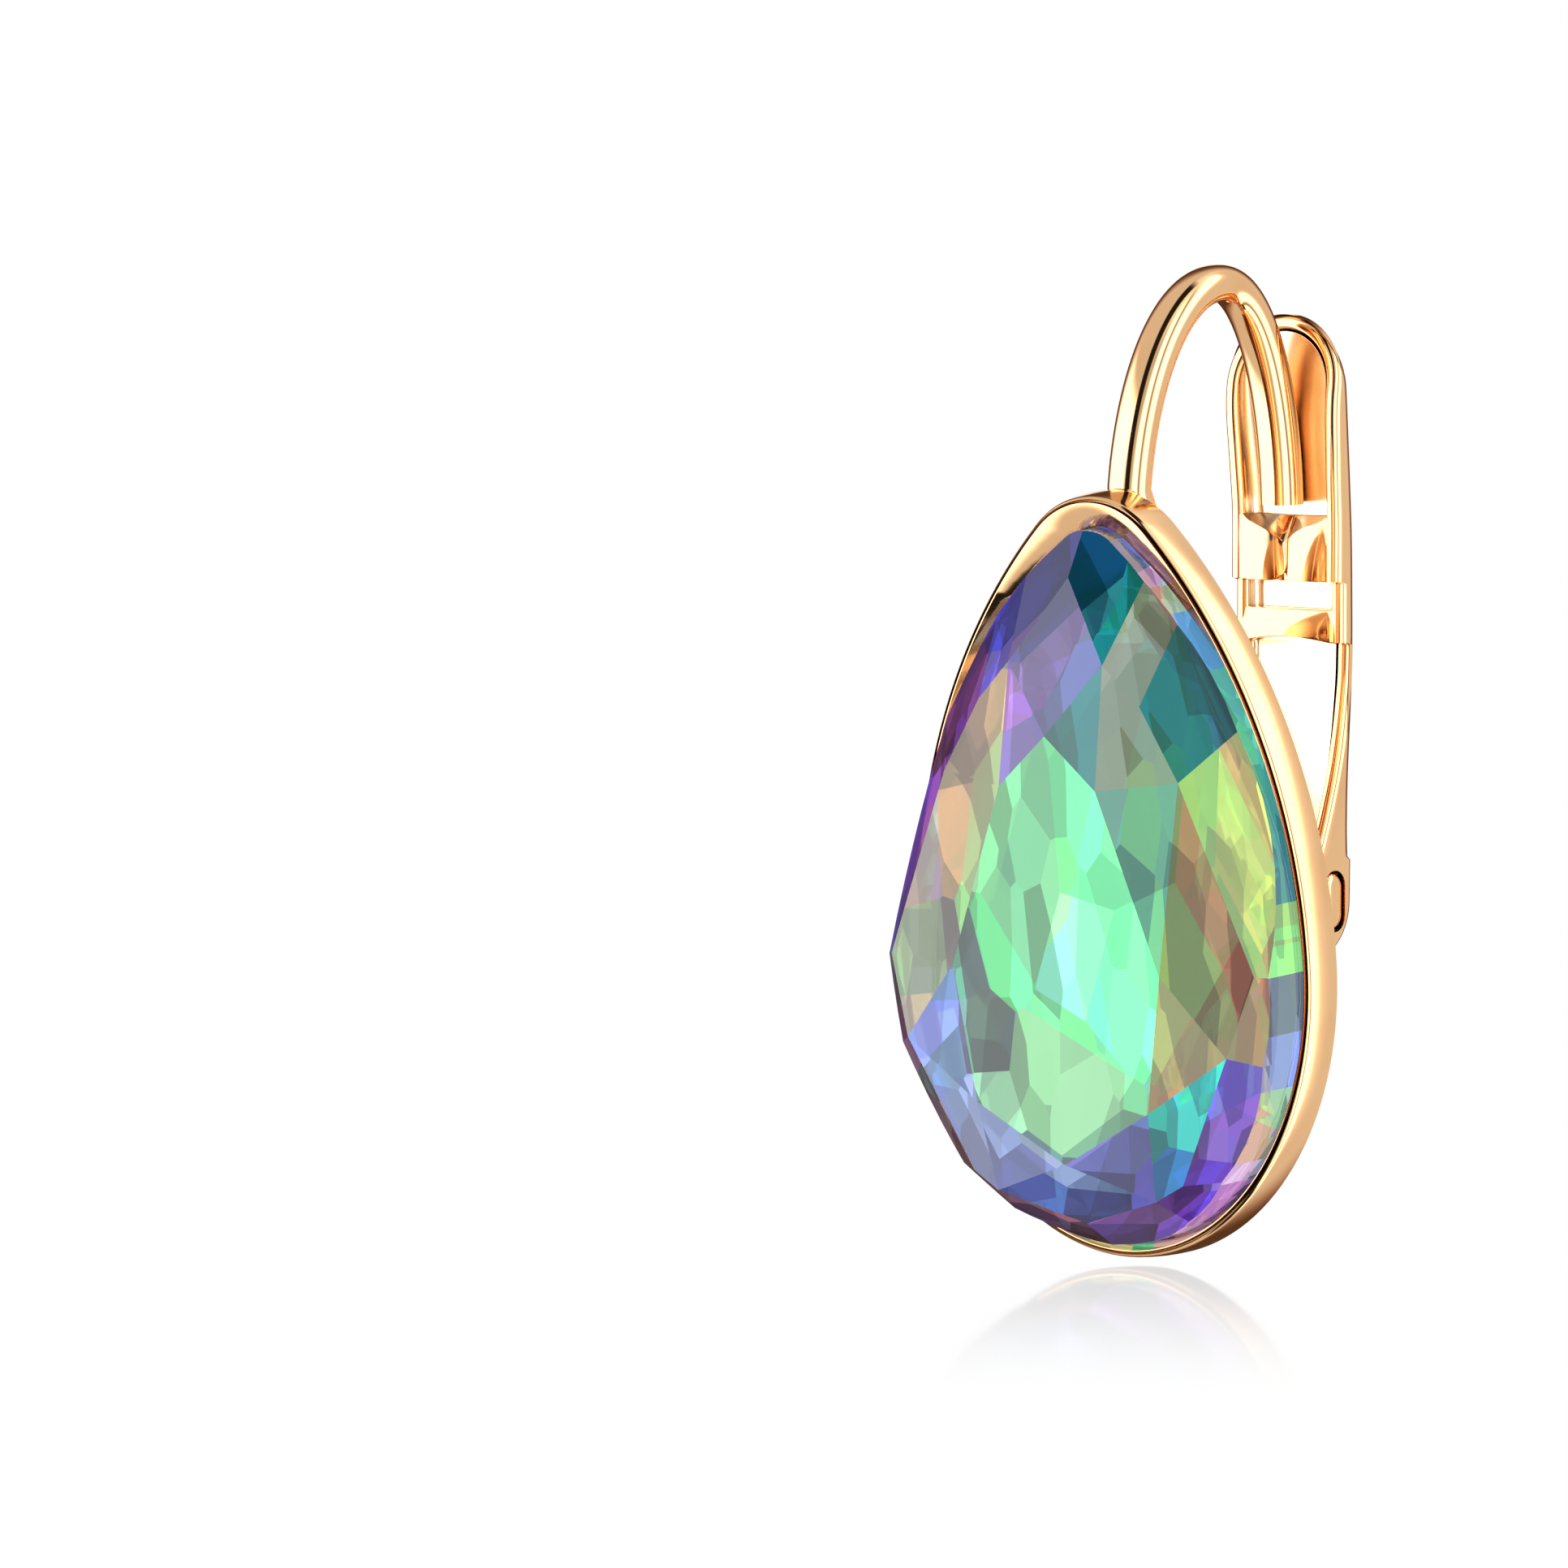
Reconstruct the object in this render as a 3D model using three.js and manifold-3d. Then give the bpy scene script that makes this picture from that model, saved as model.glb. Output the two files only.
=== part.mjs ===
// A teardrop earring on a lever-back ear wire: a pear-cut stone in a polished cup,
// a wire hook that passes through the ear, and a sprung lever that closes behind it.
// Millimetres, +Z up. The stone faces -Y. The origin is the inside top of the hook,
// where the ear holds it.

import * as THREE from 'three';
import { mergeVertices } from 'three/addons/utils/BufferGeometryUtils.js';
import Module from 'manifold-3d';

const wasm = await Module();
wasm.setup();

// Ear wire
const wireWide = 1.19;
const wireThick = 1.0;
const wireSquareness = 2.3;
const archRise = 6.5;
const archFront = 3.75;
const archBack = 2.76;
const hookReach = 5.5;

// Cup and its bezel
const cupWide = 13.6;
const cupTall = 20.5;
const cupBelowRest = 4.9;
const widestDown = 12.4;
const tipRadius = 2.8;
const bezelDeep = 1.3;
const bezelRound = 0.2;
const cupLean = 4.46;
const floorThick = 0.3;
const cupWall = 0.45;
const ledgeWide = 0.2;
const stepIn = 0.1;
const backShare = 0.58;

// Stone
const lipSide = 0.31;
const lipTop = 0.94;
const lipBottom = 0.5;
const stoneTipRadius = 1.3;
const stoneProud = 2.3;
const sideProud = 1.1;
const girdleDeep = 0.5;
const pavilionDeep = 2.9;

// Lever
const leverWide = 3.87;
const stemWide = 3.7;
const leverTopDrop = 0.42;
const wallThick = 0.45;
const webThick = 0.3;
const leverBehind = 0.98;
const earRadius = 1.5;
const earAhead = 0.75;
const collarTop = 5.8;
const collarTall = 1.76;
const collarDip = 0.7;
const slotTall = 0.74;
const bandTall = 0.9;
const sheetThick = 0.35;

// Hinge
const hingeBack = 2.75;
const hingeDrop = 16.07;
const pinRadius = 0.35;
const slotWide = 0.88;
const slotHigh = 1.66;
const knuckleRadius = 0.85;
const spineStand = 0.3;

// Clearances and fits
const stoneClear = 0.06;
const pavilionClear = 0.3;
const pinClear = 0.08;
const endClear = 0.12;
const sideClear = 0.12;
const solderBite = 0.15;
const cutOver = 0.5;

const roseGold = () => new THREE.MeshStandardMaterial({ color: 0xe6ba8c, roughness: 0.12, metalness: 1 });
const crystal = () => new THREE.MeshStandardMaterial({ color: 0x6fc79a, roughness: 0.03, metalness: 0.1 });

// Closed solids from three.js geometry, and back.

function toSolid(geometry) {
  const bare = geometry.clone();
  bare.deleteAttribute('normal');
  bare.deleteAttribute('uv');
  const merged = mergeVertices(bare, 1e-5);
  const index = Array.from(merged.index.array);
  const kept = [];
  for (let i = 0; i < index.length; i += 3) {
    const [a, b, c] = index.slice(i, i + 3);
    if (a !== b && b !== c && c !== a) kept.push(a, b, c);
  }
  return new wasm.Manifold(new wasm.Mesh({
    numProp: 3,
    vertProperties: new Float32Array(merged.attributes.position.array),
    triVerts: new Uint32Array(kept),
  }));
}

function toGeometry(solid) {
  const mesh = solid.getMesh();
  const geometry = new THREE.BufferGeometry();
  geometry.setAttribute('position', new THREE.BufferAttribute(new Float32Array(mesh.vertProperties), 3));
  geometry.setIndex(new THREE.BufferAttribute(new Uint32Array(mesh.triVerts), 1));
  geometry.computeVertexNormals();
  return geometry;
}

// Rings of points, one after the other, joined by walls and closed by a fan at each end.
function loft(rings) {
  const count = rings[0].length;
  const positions = rings.flat().flatMap((p) => [p.x, p.y, p.z]);
  const index = [];
  for (let r = 0; r + 1 < rings.length; r += 1) {
    for (let i = 0; i < count; i += 1) {
      const j = (i + 1) % count;
      const near = r * count;
      const far = near + count;
      index.push(near + i, far + i, near + j, near + j, far + i, far + j);
    }
  }
  const addFan = (ring, first, flip) => {
    const middle = positions.length / 3;
    const centre = ring.reduce((sum, p) => sum.add(p), new THREE.Vector3()).divideScalar(count);
    positions.push(centre.x, centre.y, centre.z);
    for (let i = 0; i < count; i += 1) {
      const j = (i + 1) % count;
      index.push(middle, first + (flip ? j : i), first + (flip ? i : j));
    }
  };
  addFan(rings[0], 0, false);
  addFan(rings[rings.length - 1], (rings.length - 1) * count, true);
  const geometry = new THREE.BufferGeometry();
  geometry.setAttribute('position', new THREE.Float32BufferAttribute(positions, 3));
  geometry.setIndex(facingOut(positions, index));
  return geometry;
}

// Triangles turned so that the volume they close is positive.
function facingOut(positions, index) {
  const at = (i) => new THREE.Vector3().fromArray(positions, 3 * i);
  let volume = 0;
  for (let i = 0; i < index.length; i += 3) {
    volume += at(index[i]).dot(at(index[i + 1]).cross(at(index[i + 2])));
  }
  return volume > 0 ? index : index.slice().reverse();
}

// The pear outline: a round tip, a flank that is one arc, and a half ellipse below the widest
// line. x runs across and down runs from the top of the cup. Points go once round the outline.

function pearOutline({ half, top, bottom, widest, tip }) {
  const tipSteps = 5;
  const flankSteps = 12;
  const baseSteps = 13;
  const rise = widest - top - tip;
  const flank = (half * half + rise * rise - tip * tip) / (2 * (half - tip));
  const turn = Math.atan2(rise, flank - half);
  const side = [];
  for (let i = 0; i < tipSteps; i += 1) {
    const angle = (turnedTip(turn) * i) / tipSteps;
    side.push({ x: tip * Math.sin(angle), down: top + tip - tip * Math.cos(angle) });
  }
  for (let i = 0; i < flankSteps; i += 1) {
    const angle = turn * (1 - i / flankSteps);
    side.push({ x: half - flank + flank * Math.cos(angle), down: widest - flank * Math.sin(angle) });
  }
  for (let i = 0; i < baseSteps; i += 1) {
    const angle = (Math.PI / 2) * (i / baseSteps);
    side.push({ x: half * Math.cos(angle), down: widest + (bottom - widest) * Math.sin(angle) });
  }
  const mirrored = side.slice(1).reverse().map((p) => ({ x: -p.x, down: p.down }));
  return [...side, { x: 0, down: bottom }, ...mirrored];
}

// The tip's arc ends where the flank's begins, square to the same radius.
function turnedTip(turn) {
  return Math.PI / 2 - turn;
}

const cupPear = { half: cupWide / 2, top: 0, bottom: cupTall, widest: widestDown, tip: tipRadius };

const stonePear = {
  half: cupPear.half - lipSide,
  top: lipTop,
  bottom: cupTall - lipBottom,
  widest: widestDown,
  tip: stoneTipRadius,
};

const grown = (pear, by) => ({
  half: pear.half + by,
  top: pear.top - by,
  bottom: pear.bottom + by,
  widest: pear.widest,
  tip: pear.tip + by,
});

// In the cup's own frame y is the depth behind the bezel's front, and z is measured from its top.
const ringAt = (outline, depth, share = 1) => outline.map((p) => new THREE.Vector3(
  p.x * share,
  depth,
  -(widestDown + (p.down - widestDown) * share),
));

const cupFront = -(archFront + bezelDeep + wireThick / 2 - solderBite);
const leanTurn = new THREE.Matrix4().makeRotationX(THREE.MathUtils.degToRad(cupLean));
const cupPlace = new THREE.Matrix4().makeTranslation(0, cupFront, -cupBelowRest).multiply(leanTurn);

const cupDeep = girdleDeep + pavilionDeep + pavilionClear + floorThick;

function makeCup() {
  const round = bezelRound * (1 - Math.SQRT1_2);
  const outer = (inset) => pearOutline(grown(cupPear, -inset));
  return loft([
    ringAt(outer(bezelRound), 0),
    ringAt(outer(round), round),
    ringAt(outer(0), bezelRound),
    ringAt(outer(0), bezelDeep),
    ringAt(outer(stepIn), bezelDeep + stepIn),
    ringAt(outer(stepIn), cupDeep, backShare),
  ]);
}

// The seat is open at the front. Its lip slopes down to the stone's edge, a narrow ledge
// carries the girdle, and behind that the cup is hollow.
function makeSeat() {
  const lip = pearOutline(grown(cupPear, stoneClear - lipSide));
  const edge = pearOutline(grown(stonePear, stoneClear));
  const ledge = pearOutline(grown(stonePear, -ledgeWide));
  const floor = pearOutline(grown(cupPear, -stepIn));
  const floorShare = backShare - (2 * cupWall) / cupWide;
  return loft([
    ringAt(lip, -cutOver),
    ringAt(lip, 0),
    ringAt(edge, bezelRound),
    ringAt(edge, girdleDeep + pavilionClear),
    ringAt(ledge, girdleDeep + pavilionClear + ledgeWide / 2),
    ringAt(floor, cupDeep - floorThick, floorShare),
  ]);
}

// The ear wire: one line from the hook's free end over the arch, down the front,
// and down the back of the cup to the hinge.

// The stretch soldered to the cup: shares of the cup's depth, of how far the wire's middle
// stands off it, and of the cup's height.
const spineRows = [
  { name: 'below the tip', deep: 0.6, proud: 0, down: 0.09 },
  { name: 'on the shoulder', deep: 0.96, proud: 0.6, down: 0.22 },
  { name: 'on the flat', deep: 1, proud: 1, down: 0.32 },
];

const backOfCup = (depth, down) => new THREE.Vector3(0, depth, -down).applyMatrix4(cupPlace);

function wireLine() {
  const points = [];
  const top = wireThick / 2;
  const foot = top - archRise;
  const tipTurn = Math.acos((-hookReach - foot) / archRise);
  const steps = 9;
  for (let i = 0; i <= steps; i += 1) {
    const angle = tipTurn * (1 - i / steps);
    points.push(new THREE.Vector3(0, archBack * Math.sin(angle), foot + archRise * Math.cos(angle)));
  }
  const frontTurn = Math.acos((-cupBelowRest - foot) / archRise);
  for (let i = 1; i <= steps; i += 1) {
    const angle = (frontTurn * i) / steps;
    points.push(new THREE.Vector3(0, -archFront * Math.sin(angle), foot + archRise * Math.cos(angle)));
  }
  for (const row of spineRows) {
    points.push(backOfCup(row.deep * cupDeep + row.proud * spineStand, row.down * cupTall));
  }
  points.push(backOfCup(cupDeep + spineStand, hingeDrop - cupBelowRest));
  return new THREE.CatmullRomCurve3(points, false, 'centripetal');
}

// The wire's section: an oval pressed a little square.
function wireSection() {
  const sides = 16;
  const pressed = (value) => Math.sign(value) * Math.abs(value) ** (2 / wireSquareness);
  const points = [];
  for (let i = 0; i < sides; i += 1) {
    const angle = (2 * Math.PI * (i + 0.5)) / sides;
    points.push(new THREE.Vector2(
      (pressed(Math.cos(angle)) * wireWide) / 2,
      (pressed(Math.sin(angle)) * wireThick) / 2,
    ));
  }
  return new THREE.Shape(points);
}

function makeWire() {
  return new THREE.ExtrudeGeometry(wireSection(), { steps: 60, extrudePath: wireLine() });
}

const plainEdges = { bevelEnabled: false, curveSegments: 10 };

// A flat outline drawn as (back, up) is pushed through the earring's width.
function acrossWidth(shape, wide) {
  const geometry = new THREE.ExtrudeGeometry(shape, { ...plainEdges, depth: wide });
  const turn = new THREE.Matrix4().makeBasis(
    new THREE.Vector3(0, 1, 0),
    new THREE.Vector3(0, 0, 1),
    new THREE.Vector3(1, 0, 0),
  );
  geometry.applyMatrix4(turn);
  return geometry.translate(-wide / 2, 0, 0);
}

// A flat outline drawn as (right, up) is pushed from front to back.
function frontToBack(shape, from, to) {
  const geometry = new THREE.ExtrudeGeometry(shape, { ...plainEdges, depth: to - from });
  const turn = new THREE.Matrix4().makeBasis(
    new THREE.Vector3(1, 0, 0),
    new THREE.Vector3(0, 0, 1),
    new THREE.Vector3(0, -1, 0),
  );
  geometry.applyMatrix4(turn);
  return geometry.translate(0, to, 0);
}

const innerWide = stemWide - 2 * wallThick;
const tongueWide = innerWide - 2 * sideClear;

// The hinge tongue stands off the cup's back and ends in a knuckle round the pin.
function makeTongue() {
  const root = backOfCup(cupDeep - floorThick / 2, hingeDrop - cupBelowRest);
  const half = knuckleRadius;
  const shape = new THREE.Shape();
  shape.moveTo(root.y, -hingeDrop - half);
  shape.lineTo(hingeBack, -hingeDrop - half);
  shape.absarc(hingeBack, -hingeDrop, half, -Math.PI / 2, Math.PI / 2, false);
  shape.lineTo(root.y, -hingeDrop + half);
  shape.closePath();
  const bore = new THREE.Path();
  bore.absarc(hingeBack, -hingeDrop, pinRadius + pinClear, 0, 2 * Math.PI, true);
  shape.holes.push(bore);
  return acrossWidth(shape, tongueWide);
}

function makeFrame() {
  const cup = toSolid(makeCup().applyMatrix4(cupPlace));
  const seat = toSolid(makeSeat().applyMatrix4(cupPlace));
  const wire = toSolid(makeWire());
  const tongue = toSolid(makeTongue());
  return cup.add(wire).subtract(seat).add(tongue);
}

// The stone is a pear prism cut by flat planes. Rows hold shares of the stone's half width
// and of its length: the corners of the table, and the outer points of the star facets.

const tableCorners = [
  { name: 'tip', across: 0, down: 0.274 },
  { name: 'shoulder', across: 0.253, down: 0.347 },
  { name: 'waist', across: 0.544, down: 0.601 },
  { name: 'hip', across: 0.45, down: 0.794 },
  { name: 'foot', across: 0, down: 0.874 },
];

const starPoints = [
  { name: 'tip to shoulder', across: 0.247, down: 0.176 },
  { name: 'shoulder to waist', across: 0.616, down: 0.334 },
  { name: 'waist to hip', across: 0.84, down: 0.711 },
  { name: 'hip to foot', across: 0.416, down: 0.921 },
];

const starDropShare = 0.3;

const stoneLong = stonePear.bottom - stonePear.top;
const stonePoint = (row, side, depth) => new THREE.Vector3(
  side * row.across * stonePear.half,
  depth,
  -(stonePear.top + row.down * stoneLong),
);

// Where a line from the stone's middle through a point meets the girdle.
function girdleToward(point, outline, depth) {
  const aim = { x: point.x, down: -point.z - widestDown };
  for (let i = 0; i < outline.length; i += 1) {
    const a = outline[i];
    const b = outline[(i + 1) % outline.length];
    const from = { x: a.x, down: a.down - widestDown };
    const along = { x: b.x - a.x, down: b.down - a.down };
    const turn = aim.x * along.down - aim.down * along.x;
    const reach = (from.x * along.down - from.down * along.x) / turn;
    const share = (from.x * aim.down - from.down * aim.x) / turn;
    if (reach > 0 && share >= 0 && share < 1) {
      return new THREE.Vector3(aim.x * reach, depth, -(widestDown + aim.down * reach));
    }
  }
  throw new Error('no girdle point');
}

// A block whose face lies on the plane of three points and which fills the side away from inside.
function beyondPlane(a, b, c, inside) {
  const plane = new THREE.Plane().setFromCoplanarPoints(a, b, c);
  if (plane.distanceToPoint(inside) > 0) plane.negate();
  const size = 3 * cupTall;
  const block = new THREE.BoxGeometry(size, size, size);
  const turn = new THREE.Quaternion().setFromUnitVectors(new THREE.Vector3(0, 0, 1), plane.normal);
  block.applyQuaternion(turn);
  const middle = plane.projectPoint(inside, new THREE.Vector3()).addScaledVector(plane.normal, size / 2);
  return toSolid(block.translate(middle.x, middle.y, middle.z));
}

function makeStone() {
  const outline = pearOutline(stonePear);
  const inside = new THREE.Vector3(0, 0, -widestDown);
  const culet = new THREE.Vector3(0, girdleDeep + pavilionDeep, -widestDown);
  const starDepth = -stoneProud + starDropShare * (stoneProud - sideProud);
  const corners = [
    ...tableCorners.map((row) => stonePoint(row, 1, -stoneProud)),
    ...tableCorners.slice(1, -1).reverse().map((row) => stonePoint(row, -1, -stoneProud)),
  ];
  const stars = [
    ...starPoints.map((row) => stonePoint(row, 1, starDepth)),
    ...starPoints.slice().reverse().map((row) => stonePoint(row, -1, starDepth)),
  ];
  const sides = corners.length;
  let stone = toSolid(loft([ringAt(outline, -stoneProud), ringAt(outline, girdleDeep + pavilionDeep)]));
  for (let i = 0; i < sides; i += 1) {
    const corner = corners[i];
    const next = corners[(i + 1) % sides];
    const star = stars[i];
    const before = stars[(i + sides - 1) % sides];
    const atCorner = girdleToward(corner, outline, -sideProud);
    const atStar = girdleToward(star, outline, -sideProud);
    const atNext = girdleToward(next, outline, -sideProud);
    stone = stone.subtract(beyondPlane(corner, next, star, inside));
    stone = stone.subtract(beyondPlane(corner, before, star, inside));
    stone = stone.subtract(beyondPlane(star, atCorner, atStar, inside));
    stone = stone.subtract(beyondPlane(star, atStar, atNext, inside));
    stone = cutPavilion(stone, outline, atCorner, atStar, culet, inside);
    stone = cutPavilion(stone, outline, atStar, atNext, culet, inside);
  }
  return stone;
}

const outerPavilionShare = 1.35;

// Behind the girdle each span has a steep facet, and a flatter one that runs to the culet.
function cutPavilion(stone, outline, from, to, culet, inside) {
  const a = from.clone().setY(girdleDeep);
  const b = to.clone().setY(girdleDeep);
  const steepFoot = culet.clone().setY(girdleDeep + outerPavilionShare * pavilionDeep);
  const halfWay = a.clone().lerp(b, 0.5).lerp(steepFoot, 0.5);
  const beside = halfWay.clone().add(b).sub(a);
  return stone
    .subtract(beyondPlane(a, b, steepFoot, inside))
    .subtract(beyondPlane(halfWay, beside, culet, inside));
}

// The lever from the side. down is a share of its length from the top to the pin, back and
// front are shares of how far its back stands behind the pin.

const leverSide = [
  { name: 'paddle top', down: 0, back: 0.47, front: 0.16 },
  { name: 'upper paddle', down: 0.06, back: 0.53, front: 0.06 },
  { name: 'middle paddle', down: 0.152, back: 0.63, front: -0.12 },
  { name: 'lower paddle', down: 0.254, back: 0.81, front: -0.04 },
  { name: 'collar top', down: 0.344, back: 0.95, front: 0.05 },
  { name: 'collar foot', down: 0.456, back: 0.98, front: 0.05 },
  { name: 'band', down: 0.561, back: 1, front: 0.28 },
  { name: 'upper stem', down: 0.631, back: 0.97, front: 0.5 },
  { name: 'middle stem', down: 0.746, back: 0.84, front: 0.2 },
  { name: 'lower stem', down: 0.842, back: 0.76, front: -0.25 },
  { name: 'ear top', down: 0.925, back: 0.79, front: -0.75 },
];

const leverRow = (name) => leverSide.findIndex((row) => row.name === name);
const leverRows = (first, last) => leverSide.slice(leverRow(first), leverRow(last) + 1);

const leverTop = -leverTopDrop;
const leverLong = hingeDrop - leverTopDrop;
const leverPoint = (row, column) => new THREE.Vector2(
  hingeBack + row[column] * leverBehind,
  leverTop - row.down * leverLong,
);

const collarFoot = leverPoint(leverSide[leverRow('collar foot')], 'front');
const bandFoot = leverPoint(leverSide[leverRow('band')], 'front');

function leverOutline() {
  const shape = new THREE.Shape();
  const earMiddle = hingeBack - earAhead;
  const first = leverPoint(leverSide[0], 'back');
  shape.moveTo(first.x, first.y);
  shape.splineThru(leverSide.slice(1).map((row) => leverPoint(row, 'back')));
  shape.absarc(earMiddle, -hingeDrop, earRadius, 0, -Math.PI, true);
  const upTheFront = (rows) => rows.reverse().map((row) => leverPoint(row, 'front'));
  shape.splineThru(upTheFront(leverRows('upper stem', 'ear top')));
  shape.lineTo(bandFoot.x, bandFoot.y);
  shape.lineTo(bandFoot.x, -collarTop - collarTall);
  shape.lineTo(collarFoot.x, -collarTop - collarTall);
  shape.splineThru(upTheFront(leverRows('paddle top', 'collar top')));
  shape.closePath();
  return shape;
}

// The room inside the channel: everything ahead of the web.
function channelOutline() {
  const shape = new THREE.Shape();
  const ahead = hingeBack - 2 * earRadius;
  const rows = leverSide.map((row) => leverPoint(row, 'back').add(new THREE.Vector2(-webThick, 0)));
  shape.moveTo(ahead, rows[0].y + cutOver);
  shape.lineTo(rows[0].x, rows[0].y + cutOver);
  shape.lineTo(rows[0].x, rows[0].y);
  shape.splineThru(rows.slice(1));
  const last = rows[rows.length - 1];
  shape.lineTo(last.x + webThick + cutOver, last.y);
  shape.lineTo(last.x + webThick + cutOver, -hingeDrop - 2 * earRadius);
  shape.lineTo(ahead, -hingeDrop - 2 * earRadius);
  shape.closePath();
  return shape;
}

// The lever from the front: a round paddle that eases into a slightly narrower stem.
function paddleOutline(inset) {
  const half = leverWide / 2 - inset;
  const stem = stemWide / 2 - inset;
  const shape = new THREE.Shape();
  const middle = leverTop - leverWide / 2;
  const waist = -collarTop;
  const foot = -hingeDrop - 2 * earRadius;
  const ease = collarTop / 6;
  shape.moveTo(-stem, foot);
  shape.lineTo(stem, foot);
  shape.lineTo(stem, waist);
  shape.bezierCurveTo(stem, waist + ease, half, middle - ease, half, middle);
  shape.absarc(0, middle, half, 0, Math.PI, false);
  shape.bezierCurveTo(-half, middle - ease, -stem, waist + ease, -stem, waist);
  shape.closePath();
  return shape;
}

const box = (wide, deep, tall, x, y, z) => {
  const geometry = new THREE.BoxGeometry(wide, deep, tall);
  return toSolid(geometry.translate(x, y, z));
};

// The collar: two flaps folded in from the walls that meet at the middle, dished on top
// where the hook's end comes to rest.
function makeCollar() {
  const reach = innerWide + wallThick;
  const middle = collarFoot.x + sheetThick / 2;
  const flap = box(reach, sheetThick, collarTall, 0, middle, -collarTop - collarTall / 2);
  const rim = (deep, y) => {
    const steps = 10;
    const shoulder = 0.25;
    const ring = [];
    for (let i = 0; i <= steps; i += 1) {
      const across = -1 + (2 * i) / steps;
      const toMiddle = shoulder + (1 - shoulder) * (1 - Math.abs(across)) ** 2;
      const dip = deep * toMiddle * (1 - across ** 8);
      ring.push(new THREE.Vector3((across * innerWide) / 2, y, -collarTop - dip));
    }
    ring.push(new THREE.Vector3(innerWide / 2, y, -collarTop + cutOver));
    ring.push(new THREE.Vector3(-innerWide / 2, y, -collarTop + cutOver));
    return ring;
  };
  const slope = collarDip / sheetThick;
  const ahead = sheetThick / 3;
  const barely = collarDip / 30;
  const dish = toSolid(loft([
    rim(collarDip + slope * ahead, collarFoot.x - ahead),
    rim(barely, collarFoot.x + sheetThick),
  ]));
  return flap.subtract(dish);
}

function makeLever() {
  const deep = 4 * earRadius;
  const whole = toSolid(acrossWidth(leverOutline(), leverWide))
    .intersect(toSolid(frontToBack(paddleOutline(0), hingeBack - deep, hingeBack + deep)));
  const room = toSolid(acrossWidth(channelOutline(), leverWide))
    .intersect(toSolid(frontToBack(paddleOutline(wallThick), hingeBack - deep, hingeBack + deep)));
  const bandTop = -collarTop - collarTall - slotTall;
  const band = box(
    innerWide + wallThick, sheetThick, bandTall, 0, bandFoot.x + sheetThick / 2, bandTop - bandTall / 2,
  );
  const hole = ovalHole(slotWide, slotHigh, leverWide + 2 * cutOver);
  return whole.subtract(room).add(makeCollar()).add(band).subtract(hole);
}

// An upright oblong through the lever's two ears, or the end of the pin that fills it.
function ovalHole(wide, high, long) {
  const radius = wide / 2;
  const straight = high / 2 - radius;
  const shape = new THREE.Shape();
  shape.moveTo(hingeBack + radius, -hingeDrop - straight);
  shape.lineTo(hingeBack + radius, -hingeDrop + straight);
  shape.absarc(hingeBack, -hingeDrop + straight, radius, 0, Math.PI, false);
  shape.lineTo(hingeBack - radius, -hingeDrop - straight);
  shape.absarc(hingeBack, -hingeDrop - straight, radius, Math.PI, 2 * Math.PI, false);
  return toSolid(acrossWidth(shape, long));
}

// The pin turns in the tongue. Its ends are pressed flat into the ears' oblong holes.
function makePin() {
  const shaftLong = stemWide - wallThick;
  const shaft = new THREE.CylinderGeometry(pinRadius, pinRadius, shaftLong, 20);
  const cutDeep = 2 * slotWide;
  shaft.rotateZ(Math.PI / 2).translate(0, hingeBack, -hingeDrop);
  const ends = ovalHole(slotWide - 2 * endClear, slotHigh - 2 * endClear, stemWide);
  const between = box(innerWide, cutDeep, 2 * slotHigh, 0, hingeBack, -hingeDrop);
  return toSolid(shaft).add(ends.subtract(between));
}

const group = new THREE.Group();

function addPiece(name, solid, material) {
  const mesh = new THREE.Mesh(toGeometry(solid), material);
  mesh.name = name;
  group.add(mesh);
  return mesh;
}

addPiece('setting_and_ear_hook', makeFrame(), roseGold());
const stone = addPiece('pear_stone', makeStone(), crystal());
stone.applyMatrix4(cupPlace);
addPiece('lever', makeLever(), roseGold());
addPiece('hinge_pin', makePin(), roseGold());

export default group;
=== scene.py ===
import math
import random

import bmesh
import bpy
from mathutils import Matrix, Vector


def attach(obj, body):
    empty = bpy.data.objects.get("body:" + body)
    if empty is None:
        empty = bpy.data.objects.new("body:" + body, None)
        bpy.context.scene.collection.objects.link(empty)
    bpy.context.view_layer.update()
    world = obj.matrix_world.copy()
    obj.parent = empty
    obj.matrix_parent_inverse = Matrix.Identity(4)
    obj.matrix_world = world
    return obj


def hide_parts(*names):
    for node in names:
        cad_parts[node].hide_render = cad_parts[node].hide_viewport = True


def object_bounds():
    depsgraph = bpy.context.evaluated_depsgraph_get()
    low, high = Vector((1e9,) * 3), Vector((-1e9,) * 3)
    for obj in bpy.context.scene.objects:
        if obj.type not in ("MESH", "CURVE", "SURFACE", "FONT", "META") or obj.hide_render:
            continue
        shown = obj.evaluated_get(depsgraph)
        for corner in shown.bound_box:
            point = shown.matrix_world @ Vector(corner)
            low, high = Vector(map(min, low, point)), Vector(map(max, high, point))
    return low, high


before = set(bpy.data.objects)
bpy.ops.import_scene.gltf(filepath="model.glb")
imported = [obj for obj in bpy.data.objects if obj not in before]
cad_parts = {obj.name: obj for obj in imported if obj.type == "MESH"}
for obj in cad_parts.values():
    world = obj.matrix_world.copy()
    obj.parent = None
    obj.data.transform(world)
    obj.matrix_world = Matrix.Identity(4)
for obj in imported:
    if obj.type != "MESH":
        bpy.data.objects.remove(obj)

cad_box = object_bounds()
mm = 0.001

# The view: a long lens, a little above the stone and well round to its right, so that the
# hook, the lever and the hinge all show. The photograph has this earring right of its middle.
photo_side = 1932
photo_scale = 46.3
hook_top_pixel = (1500, 372)
view_azimuth = math.radians(40.5)
view_elevation = math.radians(4.0)
lens_mm = 400.0
sensor_mm = 36.0
frame_across = photo_side / photo_scale
view_away = frame_across * lens_mm / sensor_mm

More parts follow.
